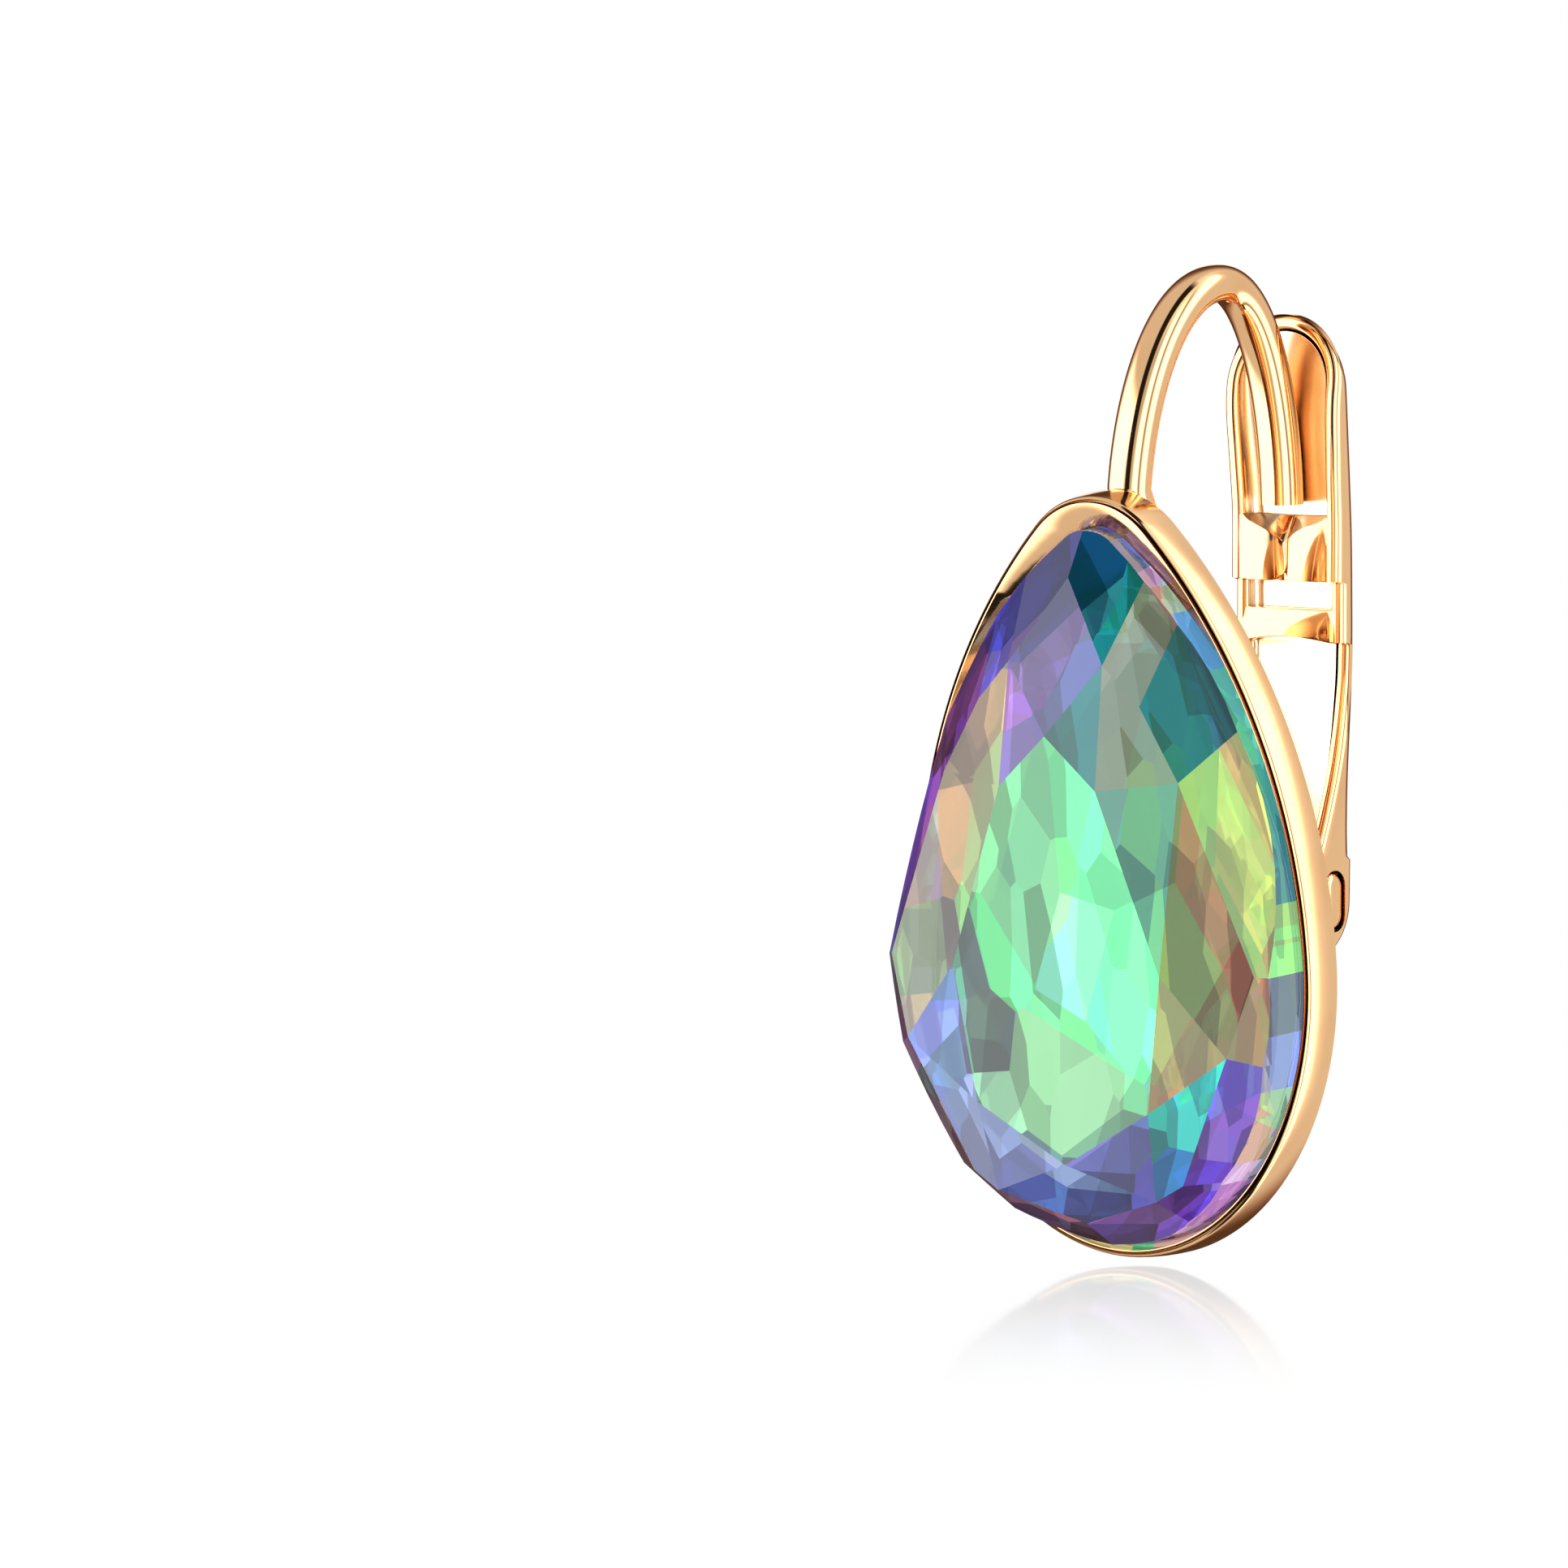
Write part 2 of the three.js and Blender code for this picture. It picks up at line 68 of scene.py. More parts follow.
toward_camera = Vector((
    math.sin(view_azimuth) * math.cos(view_elevation),
    -math.cos(view_azimuth) * math.cos(view_elevation),
    math.sin(view_elevation),
))
view_right = Vector((math.cos(view_azimuth), math.sin(view_azimuth), 0))
view_up = toward_camera.cross(view_right)
aim_right = (photo_side / 2 - hook_top_pixel[0]) / photo_scale
aim_up = (hook_top_pixel[1] - photo_side / 2) / photo_scale
aim = view_right * aim_right + view_up * aim_up

camera_data = bpy.data.cameras.new("camera")
camera_data.lens = lens_mm
camera_data.sensor_width = sensor_mm
camera_data.clip_start = 0.01
camera = bpy.data.objects.new("camera", camera_data)
camera.matrix_world = Matrix.Translation((aim + toward_camera * view_away) * mm) @ Matrix((
    view_right, view_up, toward_camera,
)).transposed().to_4x4()
bpy.context.scene.collection.objects.link(camera)
bpy.context.scene.camera = camera
bpy.context.scene.view_settings.view_transform = "Standard"

# The studio: white paper all round for the lens. Metal and stone see a tent whose brightness
# changes from side to side: soft white boxes, narrow black flags, which draw the thin dark
# lines along the polished edges, and a dim brown wall behind the earring for its outlines.
paper_level = 1.0
tent_rows = (
    (-180, 0.85), (-92, 0.9), (-78, 2.9), (-22, 2.9), (-14, 0.8), (20, 0.6), (28, 0.9),
    (36, 2.9), (62, 2.9), (70, 0.9), (74, 0.4), (80, 0.4), (86, 1.2), (98, 2.9), (123, 2.9),
    (129, 1.0), (136, 0.8), (180, 0.85),
)
tent_peak = 3.0
tent_lean = 0.8
ceiling_level = 1.2
ceiling_from = (0.7, 0.95)
low_box = (0.17, 0.32)
dim_level = 0.75
box_left_of = (0.05, -0.2)
flag_across = (-0.2, -0.15, 0.22, 0.3)
flag_ahead_of = (0.3, 0.1)
flag_level = 0.015
wall_level = 0.1
wall_colour = (1, 0.5, 0.25, 1)
wall_spread = (31, 62)
mirror_spread = (8, 13)


def studio_tent():
    world = bpy.data.worlds.new("studio")
    bpy.context.scene.world = world
    world.use_nodes = True
    tree = world.node_tree
    tree.nodes.clear()
    link = tree.links.new
    look = tree.nodes.new("ShaderNodeTexCoord").outputs["Generated"]
    parts = tree.nodes.new("ShaderNodeSeparateXYZ")
    link(look, parts.inputs[0])

    def ramped(value, low, high, kind="SMOOTHSTEP"):
        node = tree.nodes.new("ShaderNodeMapRange")
        node.interpolation_type = kind
        link(value, node.inputs["Value"])
        node.inputs["From Min"].default_value = low
        node.inputs["From Max"].default_value = high
        return node.outputs[0]

    def combined(kind, first, second):
        node = tree.nodes.new("ShaderNodeMath")
        node.operation = kind
        link(first, node.inputs[0])
        if isinstance(second, bpy.types.NodeSocket):
            link(second, node.inputs[1])
        else:
            node.inputs[1].default_value = second
        return node.outputs[0]

    def blended(share, first, second):
        node = tree.nodes.new("ShaderNodeMix")
        link(share, node.inputs[0])
        link(first, node.inputs[2])
        node.inputs[3].default_value = second
        return node.outputs[0]

    def close_to(direction, spread):
        node = tree.nodes.new("ShaderNodeVectorMath")
        node.operation = "DOT_PRODUCT"
        link(look, node.inputs[0])
        node.inputs[1].default_value = direction
        near, far = (math.cos(math.radians(degrees)) for degrees in spread)
        return ramped(node.outputs["Value"], far, near)

    ahead = combined("MULTIPLY", parts.outputs["Y"], -1)
    azimuth = combined("ARCTAN2", parts.outputs["X"], ahead)
    height = combined("MULTIPLY", parts.outputs["Z"], parts.outputs["Z"])
    azimuth = combined("SUBTRACT", azimuth, combined("MULTIPLY", height, tent_lean))
    walls = tree.nodes.new("ShaderNodeValToRGB")
    link(ramped(azimuth, -math.pi, math.pi, "LINEAR"), walls.inputs["Fac"])
    stops = walls.color_ramp.elements
    while len(stops) < len(tent_rows):
        stops.new(0.5)
    for stop, (degrees, level) in zip(stops, tent_rows):
        stop.position = (degrees + 180) / 360
        stop.color = (level / tent_peak,) * 3 + (1,)
    light = combined("MULTIPLY", walls.outputs["Color"], tent_peak)
    light = blended(ramped(parts.outputs["Z"], *ceiling_from), light, ceiling_level)
    # The left-hand box is low, so that the stone's sloping facets keep their depth of colour.
    beyond_box = combined(
        "MULTIPLY", ramped(height, *low_box), ramped(parts.outputs["X"], *box_left_of),
    )
    light = blended(beyond_box, light, dim_level)
    # One long flag hangs ahead of the cup and runs on overhead, over the arch of the hook.
    left, left_edge, right_edge, right = flag_across
    across = parts.outputs["X"]
    flag = combined("MULTIPLY", ramped(across, left, left_edge), ramped(across, right, right_edge))
    flag = combined("MULTIPLY", flag, ramped(parts.outputs["Y"], *flag_ahead_of))
    light = blended(flag, light, flag_level)
    behind = close_to(-toward_camera, wall_spread)
    light = blended(behind, light, wall_level)
    # The floor mirrors this patch to the lens, so it is white paper too.
    floor_mirror = Vector((-toward_camera.x, -toward_camera.y, toward_camera.z))
    light = blended(close_to(floor_mirror, mirror_spread), light, paper_level)
    seen = tree.nodes.new("ShaderNodeLightPath")
    light = blended(seen.outputs["Is Camera Ray"], light, paper_level)

    tint = tree.nodes.new("ShaderNodeMix")
    tint.data_type = "RGBA"
    unseen = combined("SUBTRACT", behind, seen.outputs["Is Camera Ray"])
    link(combined("SUBTRACT", unseen, close_to(floor_mirror, mirror_spread)), tint.inputs[0])
    tint.inputs[6].default_value = (1, 1, 1, 1)
    tint.inputs[7].default_value = wall_colour
    background = tree.nodes.new("ShaderNodeBackground")
    link(tint.outputs[2], background.inputs["Color"])
    link(light, background.inputs["Strength"])
    output = tree.nodes.new("ShaderNodeOutputWorld")
    link(background.outputs[0], output.inputs["Surface"])


studio_tent()

# The floor: a lit white sheet with a faint gloss, just under the earring, so that a pale
# mirror image shows below the cup.
floor_gap = 0.08
floor_side = 6000
floor_gloss = 0.3
floor_blur = 0.06
fade_reach = 36


def paper_floor():
    level = cad_box[0][2] - floor_gap * mm
    middle = (cad_box[0][1] + cad_box[1][1]) / 2
    half = floor_side / 2 * mm
    mesh = bpy.data.meshes.new("floor")
    mesh.from_pydata(
        [(-half, -half, level), (half, -half, level), (half, half, level), (-half, half, level)],
        [], [(0, 1, 2, 3)],
    )
    sheet = bpy.data.objects.new("floor", mesh)
    bpy.context.scene.collection.objects.link(sheet)
    sheet.visible_glossy = False
    sheet.visible_diffuse = False
    sheet.visible_transmission = False
    paper = bpy.data.materials.new("lit_paper")
    paper.use_nodes = True
    tree = paper.node_tree
    tree.nodes.clear()
    link = tree.links.new
    glow = tree.nodes.new("ShaderNodeEmission")
    glow.inputs["Color"].default_value = (1, 1, 1, 1)
    glow.inputs["Strength"].default_value = paper_level
    gloss = tree.nodes.new("ShaderNodeBsdfGlossy")
    gloss.inputs["Roughness"].default_value = floor_blur
    gloss.inputs["Color"].default_value = (1, 1, 1, 1)
    mixed = tree.nodes.new("ShaderNodeMixShader")
    fade = tree.nodes.new("ShaderNodeMapRange")
    fade.interpolation_type = "SMOOTHSTEP"
    for name, value in (("From Max", fade_reach * mm), ("To Min", floor_gloss), ("To Max", 0)):
        fade.inputs[name].default_value = value
    spot = tree.nodes.new("ShaderNodeVectorMath")
    spot.operation = "DISTANCE"
    link(tree.nodes.new("ShaderNodeTexCoord").outputs["Object"], spot.inputs[0])
    spot.inputs[1].default_value = (0, middle, level)
    link(spot.outputs["Value"], fade.inputs["Value"])
    link(fade.outputs[0], mixed.inputs[0])
    link(glow.outputs[0], mixed.inputs[1])
    link(gloss.outputs[0], mixed.inputs[2])
    output = tree.nodes.new("ShaderNodeOutputMaterial")
    link(mixed.outputs[0], output.inputs["Surface"])
    mesh.materials.append(paper)


paper_floor()

# The polished cup: pressed from sheet brass and rose-gold plated. Its bezel has a fine line all
# round and a lip that slopes down to the stone. Behind it a short wall, then a tapered back.
cup_wide = 13.6
cup_tall = 20.5
cup_below_rest = 4.9
widest_down = 12.4
tip_radius = 2.8
bezel_deep = 1.3
bezel_round = 0.2
cup_lean = math.radians(4.46)
solder_bite = 0.15
cup_back_share = 0.58
back_margin = 0.94
taper_bow = 0.9
arch_front = 3.75
wire_thick = 1.0
cup_deep = 4.0
lip_side = 0.31
lip_top = 0.94
lip_bottom = 0.5
stone_tip_radius = 1.3
stone_clear = 0.05
girdle_deep = 0.5
pavilion_clear = 0.7
ledge_wide = 0.2
groove = 0.05
groove_edge = 0.9
lip_line = 0.11
lip_sunk = 0.34
wall_deep = 1.1
crown_rows = (
    (0, 0), (4, 0), (9, 0.005), (17, lip_line), (31, lip_line), (39, 0.005), (45, 0), (53, 0),
    (62, 0), (72, 0), (81, 0),
)

cup_pear = {
    "half": cup_wide / 2, "top": 0.0, "bottom": cup_tall,
    "widest": widest_down, "tip": tip_radius,
}
stone_pear = {
    "half": cup_wide / 2 - lip_side, "top": lip_top, "bottom": cup_tall - lip_bottom,
    "widest": widest_down, "tip": stone_tip_radius,
}
cup_front = -(arch_front + bezel_deep + wire_thick / 2 - solder_bite)
cup_place = Matrix.Translation((0, cup_front, -cup_below_rest)) @ Matrix.Rotation(cup_lean, 4, "X")


def grown(pear, by):
    """The same pear, larger all round."""
    return {
        "half": pear["half"] + by, "top": pear["top"] - by, "bottom": pear["bottom"] + by,
        "widest": pear["widest"], "tip": pear["tip"] + by,
    }


def pear_outline(pear, tip_steps=14, flank_steps=34, base_steps=36):
    """Once round the pear: a round tip, flanks of one arc each, and a half ellipse."""
    half, top, tip, widest = pear["half"], pear["top"], pear["tip"], pear["widest"]
    rise = widest - top - tip
    flank = (half * half + rise * rise - tip * tip) / (2 * (half - tip))
    turn = math.atan2(rise, flank - half)
    side = []
    for i in range(tip_steps):
        angle = (math.pi / 2 - turn) * i / tip_steps
        side.append((tip * math.sin(angle), top + tip - tip * math.cos(angle)))
    for i in range(flank_steps):
        angle = turn * (1 - i / flank_steps)
        side.append((half - flank + flank * math.cos(angle), widest - flank * math.sin(angle)))
    for i in range(base_steps):
        angle = math.pi / 2 * i / base_steps
        side.append((half * math.cos(angle), widest + (pear["bottom"] - widest) * math.sin(angle)))
    mirrored = [(-x, down) for x, down in reversed(side[1:])]
    return side + [(0.0, pear["bottom"])] + mirrored


def cup_ring(pear, depth, share=1.0):
    """One pear-shaped ring behind the bezel's front, drawn in toward the widest line by a share."""
    return [
        Vector((x * share, depth, -(widest_down + (down - widest_down) * share)))
        for x, down in pear_outline(pear)
    ]


def skin(mesh, rings, cap_start=True, cap_end=True):
    """Closed rings of points joined by walls, with flat faces over the ends that are capped."""
    rows = [[mesh.verts.new(p) for p in ring] for ring in rings]
    count = len(rows[0])
    for near, far in zip(rows, rows[1:]):
        for i in range(count):
            j = (i + 1) % count
            mesh.faces.new((near[i], near[j], far[j], far[i]))
    if cap_start:
        mesh.faces.new(rows[0])
    if cap_end:
        mesh.faces.new(rows[-1])
    return rows


sharp_edge = math.radians(35)


def finish_piece(name, mesh, node, body, material, place=None):
    """Millimetres to metres, normals out, smooth faces with true edges, and its place in the part."""
    bmesh.ops.recalc_face_normals(mesh, faces=mesh.faces)
    if place is not None:
        bmesh.ops.transform(mesh, matrix=place, verts=mesh.verts)
    bmesh.ops.scale(mesh, vec=(mm, mm, mm), verts=mesh.verts)
    for face in mesh.faces:
        face.smooth = True
    for edge in mesh.edges:
        edge.smooth = len(edge.link_faces) < 2 or edge.calc_face_angle(0) < sharp_edge
    data = bpy.data.meshes.new(name)
    mesh.to_mesh(data)
    mesh.free()
    data.materials.append(material)
    piece = bpy.data.objects.new(name, data)
    bpy.context.scene.collection.objects.link(piece)
    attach(piece, body)
    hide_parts(node)
    return piece


gold_bright = (0.96, 0.58, 0.29, 1)
gold_deep = (0.86, 0.45, 0.19, 1)
satin_bright = (0.92, 0.74, 0.53, 1)
satin_deep = (0.78, 0.58, 0.37, 1)
# Painted shade: a dark brown that the plating's colour is drawn toward in crevices and between parts.
painted_crevice_shade = (0.07, 0.025, 0.012, 1)
crevice_reach = 0.14
crevice_open = (0.3, 0.75)
cloud_pitch = 260
cloud_share = (0.2, 0.5)
mark_pitch = 2400
mark_rub = 0.06


def rose_gold(name, polish=0.07, bright=gold_bright, deep=gold_deep):
    """Plated metal with faint clouding, hair-fine polishing marks, and painted shade that darkens it
    toward dark brown in crevices and between parts.
    """
    plating = bpy.data.materials.new(name)
    plating.use_nodes = True
    tree = plating.node_tree
    link = tree.links.new
    shader = tree.nodes["Principled BSDF"]
    shader.inputs["Metallic"].default_value = 1
    place = tree.nodes.new("ShaderNodeTexCoord").outputs["Object"]
    clouds = tree.nodes.new("ShaderNodeTexNoise")
    link(place, clouds.inputs["Vector"])
    clouds.inputs["Scale"].default_value = cloud_pitch
    clouds.inputs["Detail"].default_value = 3
    tone = tree.nodes.new("ShaderNodeValToRGB")
    for stop, colour, position in zip(tone.color_ramp.elements, (deep, bright), cloud_share):
        stop.color = colour
        stop.position = position
    link(clouds.outputs["Fac"], tone.inputs["Fac"])
    # Painted shade: where ambient occlusion finds surfaces close by, in crevices and between parts, the
    # base colour is mixed toward a dark brown.
    corner = tree.nodes.new("ShaderNodeAmbientOcclusion")
    corner.samples = 6
    corner.inputs["Distance"].default_value = crevice_reach * mm
    open_air = tree.nodes.new("ShaderNodeMapRange")
    link(corner.outputs["AO"], open_air.inputs["Value"])
    open_air.inputs["From Min"].default_value = crevice_open[0]
    open_air.inputs["From Max"].default_value = crevice_open[1]
    shade_mix = tree.nodes.new("ShaderNodeMix")
    shade_mix.data_type = "RGBA"
    link(open_air.outputs[0], shade_mix.inputs[0])
    shade_mix.inputs[6].default_value = painted_crevice_shade
    link(tone.outputs["Color"], shade_mix.inputs[7])
    link(shade_mix.outputs[2], shader.inputs["Base Color"])
    marks = tree.nodes.new("ShaderNodeTexNoise")
    link(place, marks.inputs["Vector"])
    marks.inputs["Scale"].default_value = mark_pitch
    marks.inputs["Detail"].default_value = 2
    rub = tree.nodes.new("ShaderNodeMapRange")
    link(marks.outputs["Fac"], rub.inputs["Value"])
    rub.inputs["To Min"].default_value = polish
    rub.inputs["To Max"].default_value = polish + mark_rub
    link(rub.outputs[0], shader.inputs["Roughness"])
    return plating


cup_gold = rose_gold("cup_plating")


def polished_cup():
    """Rings from the ledge under the stone, up over the lip and the bezel, and back to the rear."""
    mesh = bmesh.new()
    edge = grown(stone_pear, stone_clear)
    ledge_deep = girdle_deep + pavilion_clear
    rings = [
        cup_ring(grown(stone_pear, -ledge_wide), ledge_deep + ledge_wide / 2),
        cup_ring(edge, ledge_deep),
        cup_ring(edge, lip_sunk),
    ]
    steps = 8
    crown_turn = math.radians(crown_rows[-1][0])
    belly = (wall_deep - bezel_round) / math.cos(crown_turn)
    belly_inset = belly * (1 - math.sin(crown_turn))
    for degrees, sunk in crown_rows:
        angle = math.radians(degrees)
        inset = belly_inset + bezel_round * (math.sin(crown_turn) - math.sin(angle))
        rings.append(cup_ring(grown(cup_pear, -inset), bezel_round * (1 - math.cos(angle)) + sunk))
    for i in range(1, steps):
        angle = crown_turn + (math.pi / 2 - crown_turn) * i / (steps - 1)
        depth = bezel_round * (1 - math.cos(crown_turn))
        depth += belly * (math.cos(crown_turn) - math.cos(angle))
        wall = grown(cup_pear, belly * (math.sin(angle) - 1))
        rings.append(cup_ring(wall, min(depth, wall_deep - groove)))
    for inset, sunk in ((0, -groove * groove_edge), (groove, 0), (groove, groove)):
        rings.append(cup_ring(grown(cup_pear, -inset), wall_deep + sunk))
    shoulder = grown(cup_pear, -2 * groove)
    taper = 12
    for i in range(1, taper + 1):
        t = i / taper
        depth = wall_deep + 2 * groove + (cup_deep - wall_deep - 2 * groove) * t
        rings.append(cup_ring(shoulder, depth, 1 - (1 - cup_back_share) * t ** taper_bow))
    rings.append(cup_ring(shoulder, cup_deep, cup_back_share * back_margin))
    skin(mesh, rings, cap_start=False)
    finish_piece("polished_cup", mesh, "setting_and_ear_hook", "setting_body", cup_gold, cup_place)


polished_cup()

# The ear wire: drawn square wire with rounded corners, bent over the ear, run down the back of
# the cup and soldered there as far as the hinge.
wire_wide = 1.19
wire_squareness = 2.3
arch_rise = 6.5
arch_back = 2.76
hook_reach = 5.5
hinge_back = 2.75
hinge_drop = 16.07
spine_rows = ((0.6, 0.09, 0.0), (0.96, 0.22, 0.18), (1.0, 0.32, 0.3))
spine_proud = 0.3
end_dome = 0.12
end_share = 0.5
end_bow = 1.3


def smooth_line(points, steps):
    """An even curve through the points, each stretch in so many steps."""
    ends = [points[0] * 2 - points[1]] + list(points) + [points[-1] * 2 - points[-2]]
    line = []
    for before, start, stop, after in zip(ends, ends[1:], ends[2:], ends[3:]):
        for i in range(steps):
            t = i / steps
            line.append(0.5 * (
                2 * start + (stop - before) * t + (2 * before - 5 * start + 4 * stop - after) * t * t
                + (3 * start - before - 3 * stop + after) * t ** 3
            ))
    return line + [points[-1].copy()]


def wire_route():
    """The wire's middle line: up from its free end, over the ear, down the back to the hinge."""
    foot = wire_thick / 2 - arch_rise
    tip_turn = math.acos((-hook_reach - foot) / arch_rise)
    front_turn = math.acos((-cup_below_rest - foot) / arch_rise)
    steps = 60
    route = []
    for i in range(steps + 1):
        angle = tip_turn * (1 - i / steps)
        route.append(Vector((0, arch_back * math.sin(angle), foot + arch_rise * math.cos(angle))))
    for i in range(1, steps + 1):
        angle = front_turn * i / steps
        route.append(Vector((0, -arch_front * math.sin(angle), foot + arch_rise * math.cos(angle))))
    down_back = [
        cup_place @ Vector((0, cup_deep * deep + proud, -cup_tall * down))
        for deep, down, proud in spine_rows
    ]
    last = Vector((0, cup_deep + spine_proud, -(hinge_drop - cup_below_rest)))
    down_back.append(cup_place @ last)
    return route[:-1] + smooth_line([route[-1]] + down_back, steps=14)


def wire_section(share=1.0, sides=40):
    """A round section pressed a little square."""
    points = []
    for i in range(sides):
        angle = 2 * math.pi * i / sides
        x, y = math.cos(angle), math.sin(angle)
        points.append((
            wire_wide / 2 * share * math.copysign(abs(x) ** (2 / wire_squareness), x),
            wire_thick / 2 * share * math.copysign(abs(y) ** (2 / wire_squareness), y),
        ))
    return points


def ear_wire():
    mesh = bmesh.new()
    route = wire_route()
    rings = []

    def ring(centre, along, share):
        level = Vector((0, -along.z, along.y))
        return [centre + Vector((x, 0, 0)) + level * y for x, y in wire_section(share)]

    first = (route[1] - route[0]).normalized()
    dome_steps = 8
    for i in range(1, dome_steps):
        short = 1 - math.sin(math.pi / 2 * i / dome_steps)
        share = 1 - end_share * short ** end_bow
        rings.append(ring(route[0] + first * end_dome * short, first, share))
    for i in range(1, len(route)):
        after = route[min(i + 1, len(route) - 1)]
        rings.append(ring(route[i], (after - route[i - 1]).normalized(), 1))
    skin(mesh, rings)
    gold = rose_gold("wire_plating", 0.05)
    finish_piece("ear_wire", mesh, "setting_and_ear_hook", "setting_body", gold)


ear_wire()

# The hinge tongue: a flat brass tab soldered to the cup's back, rolled into a knuckle that
# turns on the pin between the lever's ears.
stem_wide = 3.7
wall_thick = 0.45
inner_wide = stem_wide - 2 * wall_thick
tongue_clear = 0.24
tongue_wide = inner_wide - tongue_clear
tongue_bite = 0.15
tongue_chamfer = 0.08
knuckle_radius = 0.85
pin_radius = 0.35
pin_clear = 0.08
bore_radius = pin_radius + pin_clear


def hinge_tongue():
    mesh = bmesh.new()
    root = (cup_place @ Vector((0, cup_deep - tongue_bite, -(hinge_drop - cup_below_rest)))).y
    centre = Vector((hinge_back, -hinge_drop))
    steps = 28
    flat_steps = 8
    along = [root + (hinge_back - root) * i / flat_steps for i in range(flat_steps)]
    outer = [Vector((y, -hinge_drop - knuckle_radius)) for y in along]
    for i in range(steps + 1):
        angle = -math.pi / 2 + math.pi * i / steps
        outer.append(centre + Vector((math.cos(angle), math.sin(angle))) * knuckle_radius)
    outer += [Vector((y, -hinge_drop + knuckle_radius)) for y in reversed(along)]
    for i in range(1, flat_steps):
        outer.append(Vector((root, -hinge_drop + knuckle_radius * (1 - 2 * i / flat_steps))))
    inner = [centre + (p - centre).normalized() * bore_radius for p in outer]
    count = len(outer)
    half = tongue_wide / 2

    def loop(points, x, shrink=0.0):
        ring = []
        for p in points:
            q = p - (p - centre).normalized() * shrink
            ring.append(Vector((x, q.x, q.y)))
        return ring

    def chamfered(x, inward):
        """One end of the tongue, from its bore out to its rim."""
        return [
            loop(inner, x + inward * tongue_chamfer / 2),
            loop(inner, x, -tongue_chamfer / 2),
            loop(outer, x, tongue_chamfer),
            loop(outer, x + inward * tongue_chamfer),
        ]

    rings = chamfered(-half, 1) + chamfered(half, -1)[::-1]
    rows = skin(mesh, rings, cap_start=False, cap_end=False)
    for i in range(count):
        j = (i + 1) % count
        mesh.faces.new((rows[-1][i], rows[-1][j], rows[0][j], rows[0][i]))
    gold = rose_gold("tongue_plating", 0.09)
    finish_piece("hinge_tongue", mesh, "setting_and_ear_hook", "setting_body", gold)


hinge_tongue()

# The lever: stamped from sheet brass into a channel with a round paddle on top, a collar of two
# flaps folded in from its walls, a cross band, and two ears that take the pin.
lever_wide = 3.87
lever_top = -0.42
lever_long = hinge_drop + lever_top
lever_behind = 0.98
web_thick = 0.3
ear_radius = 1.5
ear_ahead = 0.75
ear_least = 0.02
collar_top = 5.8
collar_tall = 1.76
collar_dip = 0.7
slot_tall = 0.74
band_tall = 0.9
sheet_thick = 0.35
sheet_round = 0.05
seat_gap = 0.03
back_ease = 1.1
fold_round = 0.19
scoop_round = 0.34
scoop_share = 0.7
scoop_least = 0.02
seam_side = 0.1
flap_back = 0.05
flap_sunk = 0.02
flap_thick = 0.45
flap_rear_dip = 0.04
flap_rear_slope = 0.06
flap_step = 0.07
flap_lap = 0.25
flap_corner = 0.55
flap_edge = 0.1
flap_crown = 0.13
wall_bite = 0.4
dish_steep = 0.5
band_back = 0.28
band_lean = 0.07
band_crown = 0.14
band_bow = 0.14
band_round = 0.06
slot_wide = 0.88
slot_high = 1.66
lever_back = (
    (0, 0.47), (0.06, 0.53), (0.152, 0.63), (0.254, 0.81), (0.344, 0.95), (0.456, 0.98),
    (0.561, 1), (0.631, 0.97), (0.746, 0.84), (0.842, 0.76), (0.925, 0.79),
)
paddle_front = ((0, 0.16), (0.06, 0.06), (0.152, -0.12), (0.254, -0.04), (0.344, 0.05), (0.456, 0.05))
stem_front = ((0.561, 0.56), (0.631, 0.5), (0.746, 0.2), (0.842, -0.25), (0.925, -0.75))
lever_gold = rose_gold("lever_plating", 0.06)
satin_gold = rose_gold("satin_plating", 0.22, satin_bright, satin_deep)


def along_table(rows, down):
    """A smooth reading between the rows of a table of shares."""
    if down <= rows[0][0]:
        return rows[0][1]
    if down >= rows[-1][0]:
        return rows[-1][1]
    spot = next(i for i in range(len(rows) - 1) if rows[i + 1][0] >= down)
    (x0, y0), (x1, y1) = rows[spot], rows[spot + 1]

    def slope(i):
        a, b = rows[max(i - 1, 0)], rows[min(i + 1, len(rows) - 1)]
        return (b[1] - a[1]) / (b[0] - a[0])

    t = (down - x0) / (x1 - x0)
    run = x1 - x0
    return (
        y0 * (1 + 2 * t) * (1 - t) ** 2 + slope(spot) * run * t * (1 - t) ** 2
        + y1 * t * t * (3 - 2 * t) - slope(spot + 1) * run * t * t * (1 - t)
    )


ear_top = lever_top - lever_back[-1][0] * lever_long
ear_middle = hinge_back - ear_ahead


def ear_span(z):
    """How far the ear's round foot reaches fore and aft of its middle at a height."""
    off = abs(z + hinge_drop)
    return math.sqrt(max(ear_radius ** 2 - off ** 2, ear_least ** 2))


def stamped_back(z):
    """The lever's back at a height: its table, then a straight run into the round ear."""
    if z < -hinge_drop:
        return ear_middle + ear_span(z)
    if z < ear_top:
        share = (ear_top - z) / (ear_top + hinge_drop)
        top_back = hinge_back + lever_back[-1][1] * lever_behind
        return top_back + (ear_middle + ear_radius - top_back) * share
    return hinge_back + lever_behind * along_table(lever_back, (lever_top - z) / lever_long)


def back_at(z):
    """The lever's back, eased over a short length so that it shines evenly."""
    reach = min(back_ease, max(0, z - ear_top))
    steps = 8
    return sum(stamped_back(z + reach * (i / steps)) for i in range(-steps, steps + 1)) / (2 * steps + 1)


